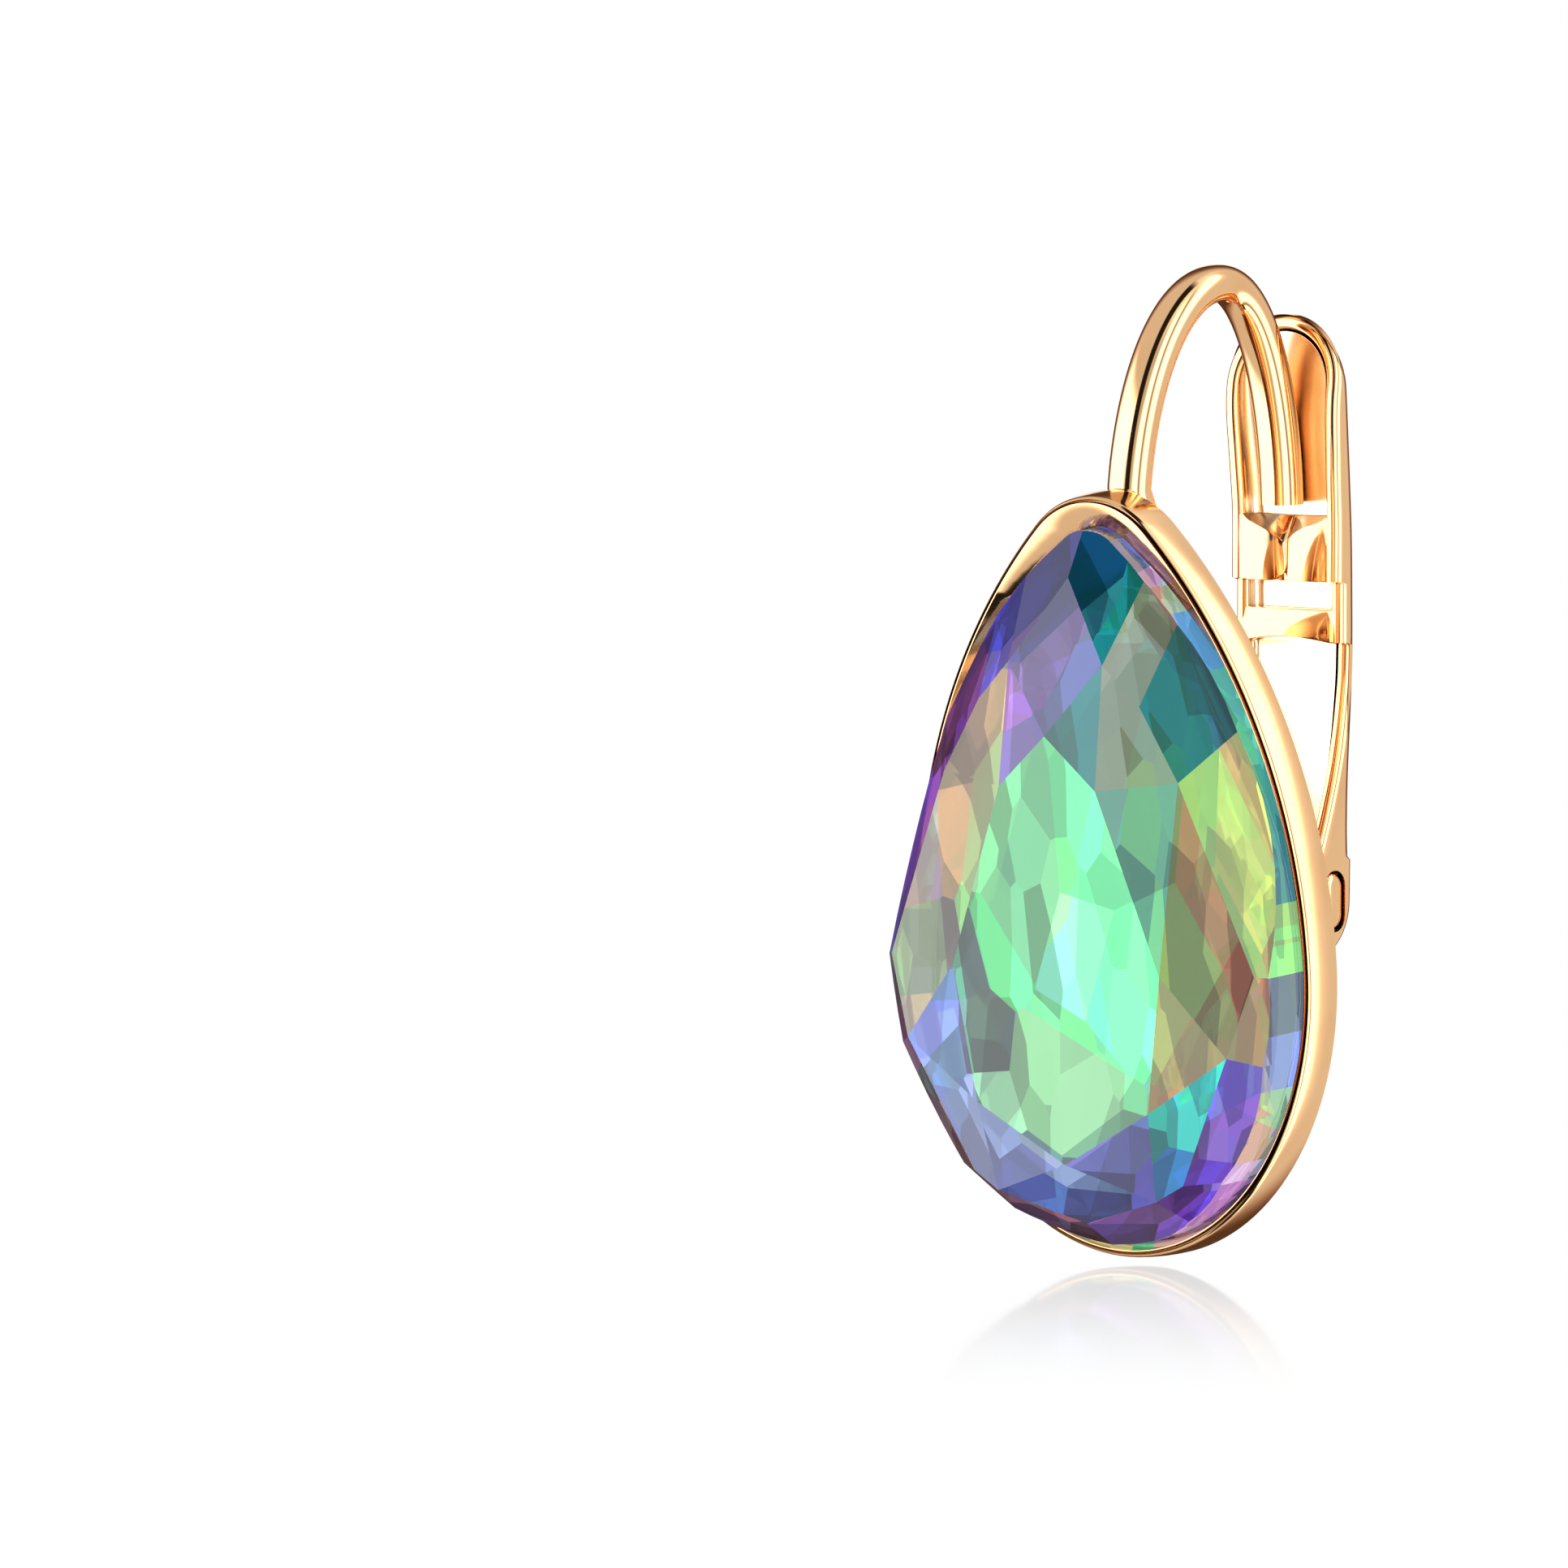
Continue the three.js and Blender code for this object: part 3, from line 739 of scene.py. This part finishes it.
def front_at(z):
    """The front edge of the lever's walls at a height."""
    if z < -hinge_drop:
        return ear_middle - ear_span(z)
    if z < ear_top:
        share = (ear_top - z) / (ear_top + hinge_drop)
        top_front = hinge_back + stem_front[-1][1] * lever_behind
        eased = 1 - (1 - share) ** 2
        return top_front + (ear_middle - ear_radius - top_front) * eased
    down = (lever_top - z) / lever_long
    if z > -collar_top - collar_tall:
        return hinge_back + lever_behind * along_table(paddle_front, down)
    if z > -collar_top - collar_tall - slot_tall - band_tall:
        return hinge_back + lever_behind * band_back
    return hinge_back + lever_behind * along_table(stem_front, down)


def half_at(z):
    """Half the lever's width: a round paddle that eases into the narrower stem."""
    middle = lever_top - lever_wide / 2
    if z >= middle:
        return math.sqrt(max((lever_wide / 2) ** 2 - (z - middle) ** 2, 0))
    if z <= -collar_top:
        return stem_wide / 2
    t = (middle - z) / (middle + collar_top)
    eased = t * t * (3 - 2 * t)
    return lever_wide / 2 + (stem_wide - lever_wide) / 2 * eased


def lever_path():
    """The right half of the lever's outline as (x, z) with its inward direction, top first."""
    middle = lever_top - lever_wide / 2
    path = []
    arc = 26
    for i in range(arc):
        angle = math.pi / 2 * i / arc
        path.append((lever_wide / 2 * math.sin(angle), middle + lever_wide / 2 * math.cos(angle), angle))
    step_line = -collar_top - collar_tall
    band_line = step_line - slot_tall - band_tall
    levels = []
    for start, stop, steps in (
        (middle, step_line + seat_gap, 40), (step_line - seat_gap, band_line + seat_gap, 10),
        (band_line - seat_gap, ear_top, 44),
    ):
        levels += [start + (stop - start) * i / steps for i in range(steps + 1)]
    for z in levels:
        path.append((half_at(z), z, math.pi / 2))
    return path


def lever_shell():
    """The folded channel, one cross-section at each step of its outline, then its two ears."""
    mesh = bmesh.new()
    path = lever_path()
    corner = fold_round
    turns = 4
    rows = []
    for x, z, angle in path:
        back, front = back_at(z), front_at(z)
        web = back - web_thick
        inward = Vector((-math.sin(angle), 0, -math.cos(angle)))
        scoop = min(scoop_round, max((web - front) * scoop_share, scoop_least))
        profile = []
        for inset, depth, radius, start, turn in (
            (corner * 2, back - corner * 2, corner * 2, math.pi / 2, math.pi / 2),
            (corner, front + corner, corner, math.pi, math.pi / 2),
            (wall_thick - corner, front + corner, corner, -math.pi / 2, math.pi / 2),
            (wall_thick + scoop, web - scoop, scoop, math.pi, -math.pi / 2),
        ):
            for i in range(turns + 1):
                a = start + turn * i / turns
                profile.append((inset + radius * math.cos(a), depth + radius * math.sin(a)))
        rows.append([
            Vector((x, 0, z)) + inward * inset + Vector((0, depth, 0)) for inset, depth in profile
        ])
    count = len(rows[0])

    def mirrored(p):
        return Vector((-p.x, p.y, p.z))

    right = [[mesh.verts.new(p) for p in row] for row in rows]
    left = [right[0]] + [[mesh.verts.new(mirrored(p)) for p in row] for row in rows[1:]]
    channel = 3 * (turns + 1) - 1
    for side in (right, left):
        for near, far in zip(side, side[1:]):
            for i in range(count - 1):
                wall = mesh.faces.new((near[i], near[i + 1], far[i + 1], far[i]))
                wall.material_index = 1 if i >= channel else 0
    for k in range(len(rows) - 1):
        for i in (0, count - 1):
            a, b = right[k][i], right[k + 1][i]
            c, d = left[k + 1][i], left[k][i]
            corners = [a, b, c] if k == 0 else [a, b, c, d]
            web_face = mesh.faces.new(corners)
            web_face.material_index = 1 if i else 0
    foot_right, foot_left = right[-1], left[-1]
    mesh.faces.new((foot_right[0], foot_right[-1], foot_left[-1], foot_left[0]))
    ear_levels = [ear_top + (-hinge_drop - ear_top) * i / 12 for i in range(1, 13)]
    ear_levels += [-hinge_drop - ear_radius * math.sin(math.pi / 2 * i / 16) for i in range(1, 16)]
    for previous, side in ((foot_right, 1), (foot_left, -1)):
        for z in ear_levels:
            back, front = back_at(z), front_at(z)
            bend = min(corner, (back - front) / 3)
            row = []
            for inset, depth, start in (
                (bend, back - bend, math.pi / 2), (bend, front + bend, math.pi),
                (wall_thick - bend, front + bend, -math.pi / 2), (wall_thick - bend, back - bend, 0),
            ):
                for i in range(turns + 1):
                    a = start + math.pi / 2 * i / turns
                    x = stem_wide / 2 - (inset + bend * math.cos(a))
                    row.append(mesh.verts.new((side * x, depth + bend * math.sin(a), z)))
            for i in range(count):
                j = (i + 1) % count
                mesh.faces.new((previous[i], previous[j], row[j], row[i]))
            previous = row
        mesh.faces.new(previous)
    return mesh


def rounded_front(foot, low, crown, top, corner):
    """The front of a folded strip in section, as (y, z) points from its foot to its top."""
    rest = 0.3 * corner
    return [
        (foot + corner, low), (foot + rest, low + rest), (foot, low + corner),
        (crown, top - corner), (crown + rest, top - rest), (crown + corner, top),
    ]


def collar_flap(mesh, side):
    """One crowned flap from a wall to the seam; the left one lies over the right one."""
    over = side < 0
    front = hinge_back + lever_behind * flap_back + (0 if over else flap_step)
    half = inner_wide / 2
    root = half + wall_thick * wall_bite
    seam = seam_side if over else seam_side - flap_lap
    start, stop = (-root, seam) if over else (seam, root)
    low = -collar_top - collar_tall
    rings = []
    steps = 30
    for i in range(steps + 1):
        t = i / steps
        x = start + (stop - start) * (1 - (1 - t) ** 1.6 if over else t)
        across = min(abs(x) / half, 1)
        dip = collar_dip * (0.25 + 0.75 * (1 - across) ** 2) * (1 - across ** 8)
        y = front + flap_sunk - flap_crown * (1 - (2 * across - 1) ** 2)
        floor = low
        if over:
            into = max(0, x - (seam - flap_corner)) / flap_corner
            floor = low + flap_corner * (1 - math.sqrt(max(1 - into * into, 0)))
            roll = max(0, x - (seam - flap_edge)) / flap_edge
            y += flap_edge * (1 - math.sqrt(max(1 - roll * roll, 0)))
        back = front + flap_thick
        rear_top = -collar_top - flap_rear_dip * dip
        ring = rounded_front(y, floor, y, -collar_top - dip, sheet_round) + [
            (back - sheet_round, rear_top), (back, rear_top - flap_rear_slope),
            (back, low + sheet_round), (back - sheet_round, (low + floor) / 2),
        ]
        rings.append([Vector((x, depth, z)) for depth, z in ring])
    skin(mesh, rings)


def cross_band(mesh):
    """A short crowned strip between the walls, its foot leaning forward."""
    front = hinge_back + lever_behind * band_back
    half = inner_wide / 2 + wall_thick * wall_bite
    top = -collar_top - collar_tall - slot_tall
    rings = []
    steps = 18
    for i in range(-steps, steps + 1):
        x = half * i / steps
        across = min(abs(x) / (inner_wide / 2), 1)
        low = top - band_tall + band_bow * (1 - across ** 2)
        y = front - band_crown * (1 - across ** 2) + seat_gap
        back = front + sheet_thick
        ring = rounded_front(y - band_lean, low, y, top, band_round) + [(back, top), (back, low)]
        rings.append([Vector((x, depth, z)) for depth, z in ring])
    skin(mesh, rings)


def oblong(wide, high, steps=12):
    """An upright oblong round the hinge line, as (y, z) points."""
    radius = wide / 2
    straight = high / 2 - radius
    points = []
    for start, rise in ((0, straight), (math.pi, -straight)):
        for i in range(steps + 1):
            angle = start + math.pi * i / steps
            z = -hinge_drop + rise + radius * math.sin(angle)
            points.append((hinge_back + radius * math.cos(angle), z))
    return points


def cut_ear_holes(lever):
    """The ears' oblong holes, cut with a plain tool that isn't kept."""
    mesh = bmesh.new()
    reach = stem_wide
    skin(mesh, [[Vector((x, y, z)) for y, z in oblong(slot_wide, slot_high)] for x in (-reach, reach)])
    bmesh.ops.recalc_face_normals(mesh, faces=mesh.faces)
    bmesh.ops.scale(mesh, vec=(mm, mm, mm), verts=mesh.verts)
    data = bpy.data.meshes.new("punch")
    mesh.to_mesh(data)
    mesh.free()
    punch = bpy.data.objects.new("punch", data)
    bpy.context.scene.collection.objects.link(punch)
    cut = lever.modifiers.new("ear_holes", "BOOLEAN")
    cut.operation = "DIFFERENCE"
    cut.solver = "EXACT"
    cut.object = punch
    depsgraph = bpy.context.evaluated_depsgraph_get()
    whole = bpy.data.meshes.new_from_object(lever.evaluated_get(depsgraph))
    lever.modifiers.clear()
    lever.data = whole
    bpy.data.objects.remove(punch)


def folded_lever():
    """The lever's three pieces; its channel and the collar's dished top have a satin plating."""
    mesh = lever_shell()
    lever = finish_piece("folded_lever", mesh, "lever", "lever_body", lever_gold)
    lever.data.materials.append(satin_gold)
    cut_ear_holes(lever)
    trim = bmesh.new()
    collar_flap(trim, -1)
    collar_flap(trim, 1)
    collar = finish_piece("folded_collar", trim, "lever", "lever_body", lever_gold)
    collar.data.materials.append(satin_gold)
    for face in collar.data.polygons:
        face.material_index = 1 if face.normal.z > dish_steep else 0
    band = bmesh.new()
    cross_band(band)
    finish_piece("cross_band", band, "lever", "lever_body", lever_gold)


folded_lever()

# The hinge pin: a short hard brass rod through the tongue. Its ends are pressed to upright
# ovals, which fill the ears' holes and shine in them.
end_clear = 0.045
end_rows = ((0.2, 0), (0.08, 0.05), (0.02, 0.14), (0, 0.26))
end_narrow = 0.8


def hinge_pin():
    mesh = bmesh.new()
    half = stem_wide / 2
    inside = inner_wide / 2
    sides = 26
    turns = [2 * math.pi * i / sides for i in range(sides)]
    shaft = []
    for x in (-inside, inside):
        middle = Vector((x, hinge_back, -hinge_drop))
        shaft.append([middle + Vector((0, math.cos(a), math.sin(a))) * pin_radius for a in turns])
    skin(mesh, shaft)
    wide, high = slot_wide - 2 * end_clear, slot_high - 2 * end_clear
    for side in (-1, 1):
        rings = []
        for x, shrink in [(inside, 0)] + [(half - short, shrink) for short, shrink in end_rows]:
            shape = oblong(wide - 2 * shrink * end_narrow, high - 2 * shrink)
            rings.append([Vector((side * x, y, z)) for y, z in shape])
        skin(mesh, rings)
    finish_piece("pressed_pin", mesh, "hinge_pin", "lever_body", rose_gold("pin_plating", 0.05))


hinge_pin()

# The pear stone: cut crystal with a table, star, kite and break facets in front. Its foiled
# back is cut into small irregular facets, whose pale colours show through the front as
# scattered shards of green, blue, violet, brown and straw.
stone_proud = 2.3
foil_deep = 2.6
foil_bow = 3
blank_spare = 0.3
star_drop = 0.3
mint, pale_mint, leaf = (0.12, 0.62, 0.30), (0.40, 0.75, 0.42), (0.04, 0.50, 0.22)
lime, olive, khaki = (0.42, 0.58, 0.10), (0.26, 0.26, 0.05), (0.34, 0.26, 0.12)
teal, deep_teal, cyan = (0.06, 0.25, 0.26), (0.02, 0.12, 0.20), (0.03, 0.48, 0.58)
sky, blue = (0.16, 0.36, 0.82), (0.06, 0.13, 0.62)
lilac, violet, plum = (0.36, 0.26, 0.72), (0.22, 0.07, 0.50), (0.09, 0.03, 0.09)
straw, blush, pearl = (0.72, 0.66, 0.34), (0.72, 0.46, 0.42), (0.85, 0.82, 0.78)
bronze, rust, mauve = (0.42, 0.17, 0.04), (0.26, 0.06, 0.03), (0.32, 0.18, 0.15)

# Each table corner and star point: its place as shares of half the stone's width and of its
# length, and how far the girdle beside it stands out of the cup. Then the coats of its two
# facets, on the stone's right and on its left: kite and break, or star and break.
table_corners = (
    ("tip", 0, 0.274, 0.3, ("dusk", "deep"), ("dusk", "violet")),
    ("shoulder", 0.253, 0.347, 0.3, ("mauve", "deep"), ("khaki", "blue")),
    ("waist", 0.544, 0.601, 1.4, ("brown", "amber"), ("khaki", "violet")),
    ("hip", 0.45, 0.794, 1.2, ("cyan", "violet"), ("sky", "mauve")),
    ("foot", 0, 0.874, 0.5, ("sky", "plum"), ("sky", "khaki")),
)
star_points = (
    ("tip to shoulder", 0.247, 0.176, 0.3, ("deep", "mauve"), ("violet", "dusk")),
    ("shoulder to waist", 0.616, 0.334, 0.32, ("slate", "olive"), ("khaki", "violet")),
    ("waist to hip", 0.84, 0.711, 1.4, ("amber", "violet"), ("sky", "plum")),
    ("hip to foot", 0.416, 0.921, 0.9, ("blue", "violet"), ("sky", "plum")),
)
coat_tints = {
    "table": (0.30, 0.85, 0.52), "dusk": (0.18, 0.13, 0.50), "deep": (0.02, 0.20, 0.28),
    "violet": (0.32, 0.13, 0.74), "mauve": (0.52, 0.31, 0.33), "khaki": (0.50, 0.43, 0.22),
    "blue": (0.17, 0.20, 0.88), "brown": (0.46, 0.22, 0.14), "olive": (0.50, 0.50, 0.12),
    "cyan": (0.06, 0.62, 0.74), "sky": (0.26, 0.40, 0.90), "plum": (0.27, 0.14, 0.24),
    "slate": (0.32, 0.34, 0.38), "amber": (0.56, 0.21, 0.08),
}

# The foil's facets: rings of them, each with its count and its reach toward the girdle. The
# inner rings are green, the next one on the left alone, and the rest take the colours of their
# stretch round the stone, which ends at so many degrees clockwise from its right-hand side.
shard_rings = ((1, 0.1), (6, 0.36), (10, 0.6), (14, 0.78), (19, 0.94))
shard_seed = 5
shard_stray = 0.3
shard_reach = (0.88, 1.04)
shard_pale = 0.4
shard_tilt = 0.11
shard_light = (0.06, 1.0)
middle_light = (0.8, 1.0)
middle_rings = 2
green_side = (50, 290)
middle_shards = (pale_mint, mint, pale_mint, straw, leaf, mint, pale_mint)
shard_sectors = (
    (26, (rust, khaki, bronze, violet, plum, straw)),
    (66, (violet, lilac, pearl, violet, mauve, bronze)),
    (100, (cyan, violet, pearl, cyan, lilac, blue)),
    (140, (sky, lilac, blue, pearl, violet)),
    (205, (violet, plum, lilac, pearl, teal, khaki)),
    (245, (khaki, lilac, mauve, violet, pearl)),
    (290, (violet, blue, mauve, deep_teal, lilac)),
    (334, (deep_teal, mauve, teal, blush, deep_teal, khaki)),
    (360, (lime, khaki, olive, lime, bronze, straw)),
)
patch_seed = 11
patch_faces = (1, 3)
sliver_pitch = (900, 500, 330)
sliver_turn = math.radians(24)
sliver_hue = (0.44, 0.56)
sliver_tone = (0.5, 1.25)
foil_shine = 0.6
foil_glow = 0.9
foil_blur = 0.02
crystal_bend = 1.55


def girdle_reach(outline, across, down):
    """How far the girdle lies from the stone's middle in one direction."""
    for (ax, ad), (bx, bd) in zip(outline, outline[1:] + outline[:1]):
        fx, fd, gx, gd = ax, ad - widest_down, bx - ax, bd - ad
        turn = across * gd - down * gx
        if abs(turn) < 1e-12:
            continue
        reach = (fx * gd - fd * gx) / turn
        share = (fx * down - fd * across) / turn
        if reach > 0 and -1e-9 <= share < 1:
            return reach


def girdle_toward(point, outline, depth):
    """Where a line from the stone's middle through a point meets the girdle."""
    across, down = point.x, -point.z - widest_down
    reach = girdle_reach(outline, across, down)
    return Vector((across * reach, depth, -(widest_down + down * reach)))


def facet(mesh, layer, key, a, b, c):
    """Cuts the stone on the plane of three points and closes it with one flat face."""
    inside = Vector((0, 0, -widest_down))
    normal = (b - a).cross(c - a).normalized()
    if normal.dot(inside - a) > 0:
        normal = -normal
    result = bmesh.ops.bisect_plane(
        mesh, geom=mesh.verts[:] + mesh.edges[:] + mesh.faces[:], dist=1e-5,
        plane_co=a, plane_no=normal, clear_outer=True,
    )
    rim = [e for e in result["geom_cut"] if isinstance(e, bmesh.types.BMEdge) and len(e.link_faces) == 1]
    if len(rim) >= 3:
        for face in bmesh.ops.contextual_create(mesh, geom=rim)["faces"]:
            face[layer] = key


def seen_once(coat):
    """The crystal shader takes the root of its colour each time that light passes it."""
    return tuple(c * c for c in coat_tints[coat])


def crown_facets(mesh, layer, outline, tints):
    """Cuts a star, a kite and two breaks at each corner of the table, going once round."""
    half, top = stone_pear["half"], stone_pear["top"]
    long = stone_pear["bottom"] - top

    def once_round(rows):
        """Every row on the stone's right, then those off its middle again on its left."""
        right = [(r[1] * half, top + r[2] * long, r[3], r[4]) for r in rows]
        left = [(-r[1] * half, top + r[2] * long, r[3], r[5]) for r in reversed(rows) if r[1] > 0]
        return right + left

    def cut(coat, *points):
        tints.append(seen_once(coat))
        facet(mesh, layer, len(tints) - 1, *points)

    corners, at_corners = [], []
    for x, down, proud, coats in once_round(table_corners):
        corners.append((Vector((x, -stone_proud, -down)), coats))
        at_corners.append(girdle_toward(corners[-1][0], outline, -proud))
    stars, at_stars = [], []
    for x, down, proud, coats in once_round(star_points):
        stars.append((Vector((x, -stone_proud + star_drop * (stone_proud - proud), -down)), coats))
        at_stars.append(girdle_toward(stars[-1][0], outline, -proud))
    for i, ((corner, kite_coats), (star, star_coats)) in enumerate(zip(corners, stars)):
        after = (i + 1) % len(corners)
        cut(star_coats[0], corner, corners[after][0], star)
        cut(kite_coats[0], corner, stars[i - 1][0], star)
        cut(kite_coats[1], star, at_corners[i], at_stars[i])
        cut(star_coats[1], star, at_stars[i], at_corners[after])


def foil_facets(mesh, layer, outline, tints):
    """Cuts the back into small flat facets, each of which rests on a shallow bowl."""
    scatter = random.Random(shard_seed)

    def bowl(x, down):
        gauge = 1 / girdle_reach(outline, x, down) if x or down else 0
        return Vector((x, girdle_deep + foil_deep * (1 - gauge ** foil_bow), -(widest_down + down)))

    step = 0.01
    for ring, (count, reach) in enumerate(shard_rings):
        for i in range(count):
            turn = 2 * math.pi * (i + scatter.uniform(-shard_stray, shard_stray)) / count
            x, down = math.cos(turn), math.sin(turn)
            share = reach * scatter.uniform(*shard_reach) * girdle_reach(outline, x, down)
            x, down = x * share, down * share
            touch = bowl(x, down)
            bearing = bearing_of(touch)
            on_left = green_side[0] <= bearing <= green_side[1]
            middle = ring < middle_rings or (ring == middle_rings and on_left)
            hue = scatter.choice(middle_shards) if middle else shard_hue(scatter, bearing)
            light = scatter.uniform(*(middle_light if middle else shard_light))
            tints.append(tuple(light * (shard_pale + (1 - shard_pale) * c / max(hue)) for c in hue))
            lean = [Vector((0, step * scatter.uniform(-shard_tilt, shard_tilt), 0)) for _ in range(2)]
            facet(
                mesh, layer, len(tints) - 1,
                touch, bowl(x + step, down) + lean[0], bowl(x, down + step) + lean[1],
            )


def bearing_of(point):
    """Degrees round the stone's middle, from its right-hand side clockwise."""
    return math.degrees(math.atan2(-point.z - widest_down, point.x)) % 360


def shard_hue(scatter, bearing):
    """One of the colours of the stretch that a bearing falls in."""
    return scatter.choice(next(hues for stop, hues in shard_sectors if bearing <= stop))


def girdle_patches(mesh, layer, tints):
    """Colours the upright girdle in short patches, as the crystal shows the foil's rim there."""
    scatter = random.Random(patch_seed)
    wall = [face for face in mesh.faces if abs(face.normal.y) < 0.5]
    wall.sort(key=lambda face: bearing_of(face.calc_center_median()))
    left_in_patch = 0
    for face in wall:
        if not left_in_patch:
            left_in_patch = scatter.randint(*patch_faces)
            tints.append(shard_hue(scatter, bearing_of(face.calc_center_median())))
        face[layer] = len(tints) - 1
        left_in_patch -= 1


def cut_stone():
    """A pear-shaped blank, cut on each facet's plane, then coloured facet by facet."""
    outline = pear_outline(stone_pear, tip_steps=6, flank_steps=14, base_steps=15)
    mesh = bmesh.new()
    layer = mesh.faces.layers.int.new("facet")
    front_and_back = (-stone_proud, girdle_deep + foil_deep + blank_spare)
    skin(mesh, [[Vector((x, depth, -down)) for x, down in outline] for depth in front_and_back])
    bmesh.ops.recalc_face_normals(mesh, faces=mesh.faces)
    tints = [seen_once("table")]
    girdle_patches(mesh, layer, tints)
    crown_facets(mesh, layer, outline, tints)
    first_shard = len(tints)
    foil_facets(mesh, layer, outline, tints)
    bmesh.ops.recalc_face_normals(mesh, faces=mesh.faces)
    bmesh.ops.transform(mesh, matrix=cup_place, verts=mesh.verts)
    bmesh.ops.scale(mesh, vec=(mm, mm, mm), verts=mesh.verts)
    data = bpy.data.meshes.new("cut_stone")
    mesh.to_mesh(data)
    mesh.free()
    data.materials.append(clear_crystal())
    data.materials.append(coloured_foil())
    tint = data.attributes.new("facet_tint", "FLOAT_COLOR", "CORNER")
    numbers = data.attributes["facet"].data
    for polygon in data.polygons:
        key = numbers[polygon.index].value
        polygon.material_index = 1 if key >= first_shard else 0
        for corner_index in polygon.loop_indices:
            tint.data[corner_index].color = (*tints[key], 1)
    piece = bpy.data.objects.new("cut_stone", data)
    bpy.context.scene.collection.objects.link(piece)
    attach(piece, "setting_body")
    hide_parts("pear_stone")


def facet_coloured(name):
    """A material that takes its base colour from the facet it covers."""
    material = bpy.data.materials.new(name)
    material.use_nodes = True
    tree = material.node_tree
    shader = tree.nodes["Principled BSDF"]
    colour = tree.nodes.new("ShaderNodeAttribute")
    colour.attribute_name = "facet_tint"
    tree.links.new(colour.outputs["Color"], shader.inputs["Base Color"])
    return material, shader


def clear_crystal():
    crystal, shader = facet_coloured("clear_crystal")
    shader.inputs["Roughness"].default_value = 0.0
    shader.inputs["IOR"].default_value = crystal_bend
    shader.inputs["Transmission Weight"].default_value = 1.0
    return crystal


def coloured_foil():
    """Silvered colours, broken into slivers of lighter and darker tone and nearby hue. Their
    slight glow stands for light that comes back after many turns inside the stone."""
    foil, shader = facet_coloured("coloured_foil")
    tree = foil.node_tree
    link = tree.links.new
    colour = next(node for node in tree.nodes if node.bl_idname == "ShaderNodeAttribute")
    spread = tree.nodes.new("ShaderNodeMapping")
    spread.inputs["Scale"].default_value = sliver_pitch
    spread.inputs["Rotation"].default_value = (0, sliver_turn, 0)
    link(tree.nodes.new("ShaderNodeTexCoord").outputs["Object"], spread.inputs["Vector"])
    slivers = tree.nodes.new("ShaderNodeTexVoronoi")
    slivers.inputs["Scale"].default_value = 1
    link(spread.outputs[0], slivers.inputs["Vector"])
    chance = tree.nodes.new("ShaderNodeSeparateColor")
    link(slivers.outputs["Color"], chance.inputs[0])

    def spread_over(value, low, high):
        node = tree.nodes.new("ShaderNodeMapRange")
        link(value, node.inputs["Value"])
        node.inputs["To Min"].default_value = low
        node.inputs["To Max"].default_value = high
        return node.outputs[0]

    tone = tree.nodes.new("ShaderNodeHueSaturation")
    link(colour.outputs["Color"], tone.inputs["Color"])
    link(spread_over(chance.outputs[0], *sliver_hue), tone.inputs["Hue"])
    link(spread_over(chance.outputs[1], *sliver_tone), tone.inputs["Value"])
    soft = tree.nodes.new("ShaderNodeVectorMath")
    soft.operation = "SCALE"
    soft.inputs["Scale"].default_value = foil_shine
    link(tone.outputs["Color"], soft.inputs[0])
    link(soft.outputs[0], shader.inputs["Base Color"])
    link(tone.outputs["Color"], shader.inputs["Emission Color"])
    shader.inputs["Metallic"].default_value = 1.0
    shader.inputs["Roughness"].default_value = foil_blur
    shader.inputs["Emission Strength"].default_value = foil_glow
    return foil


cut_stone()

bpy.context.view_layer.update()
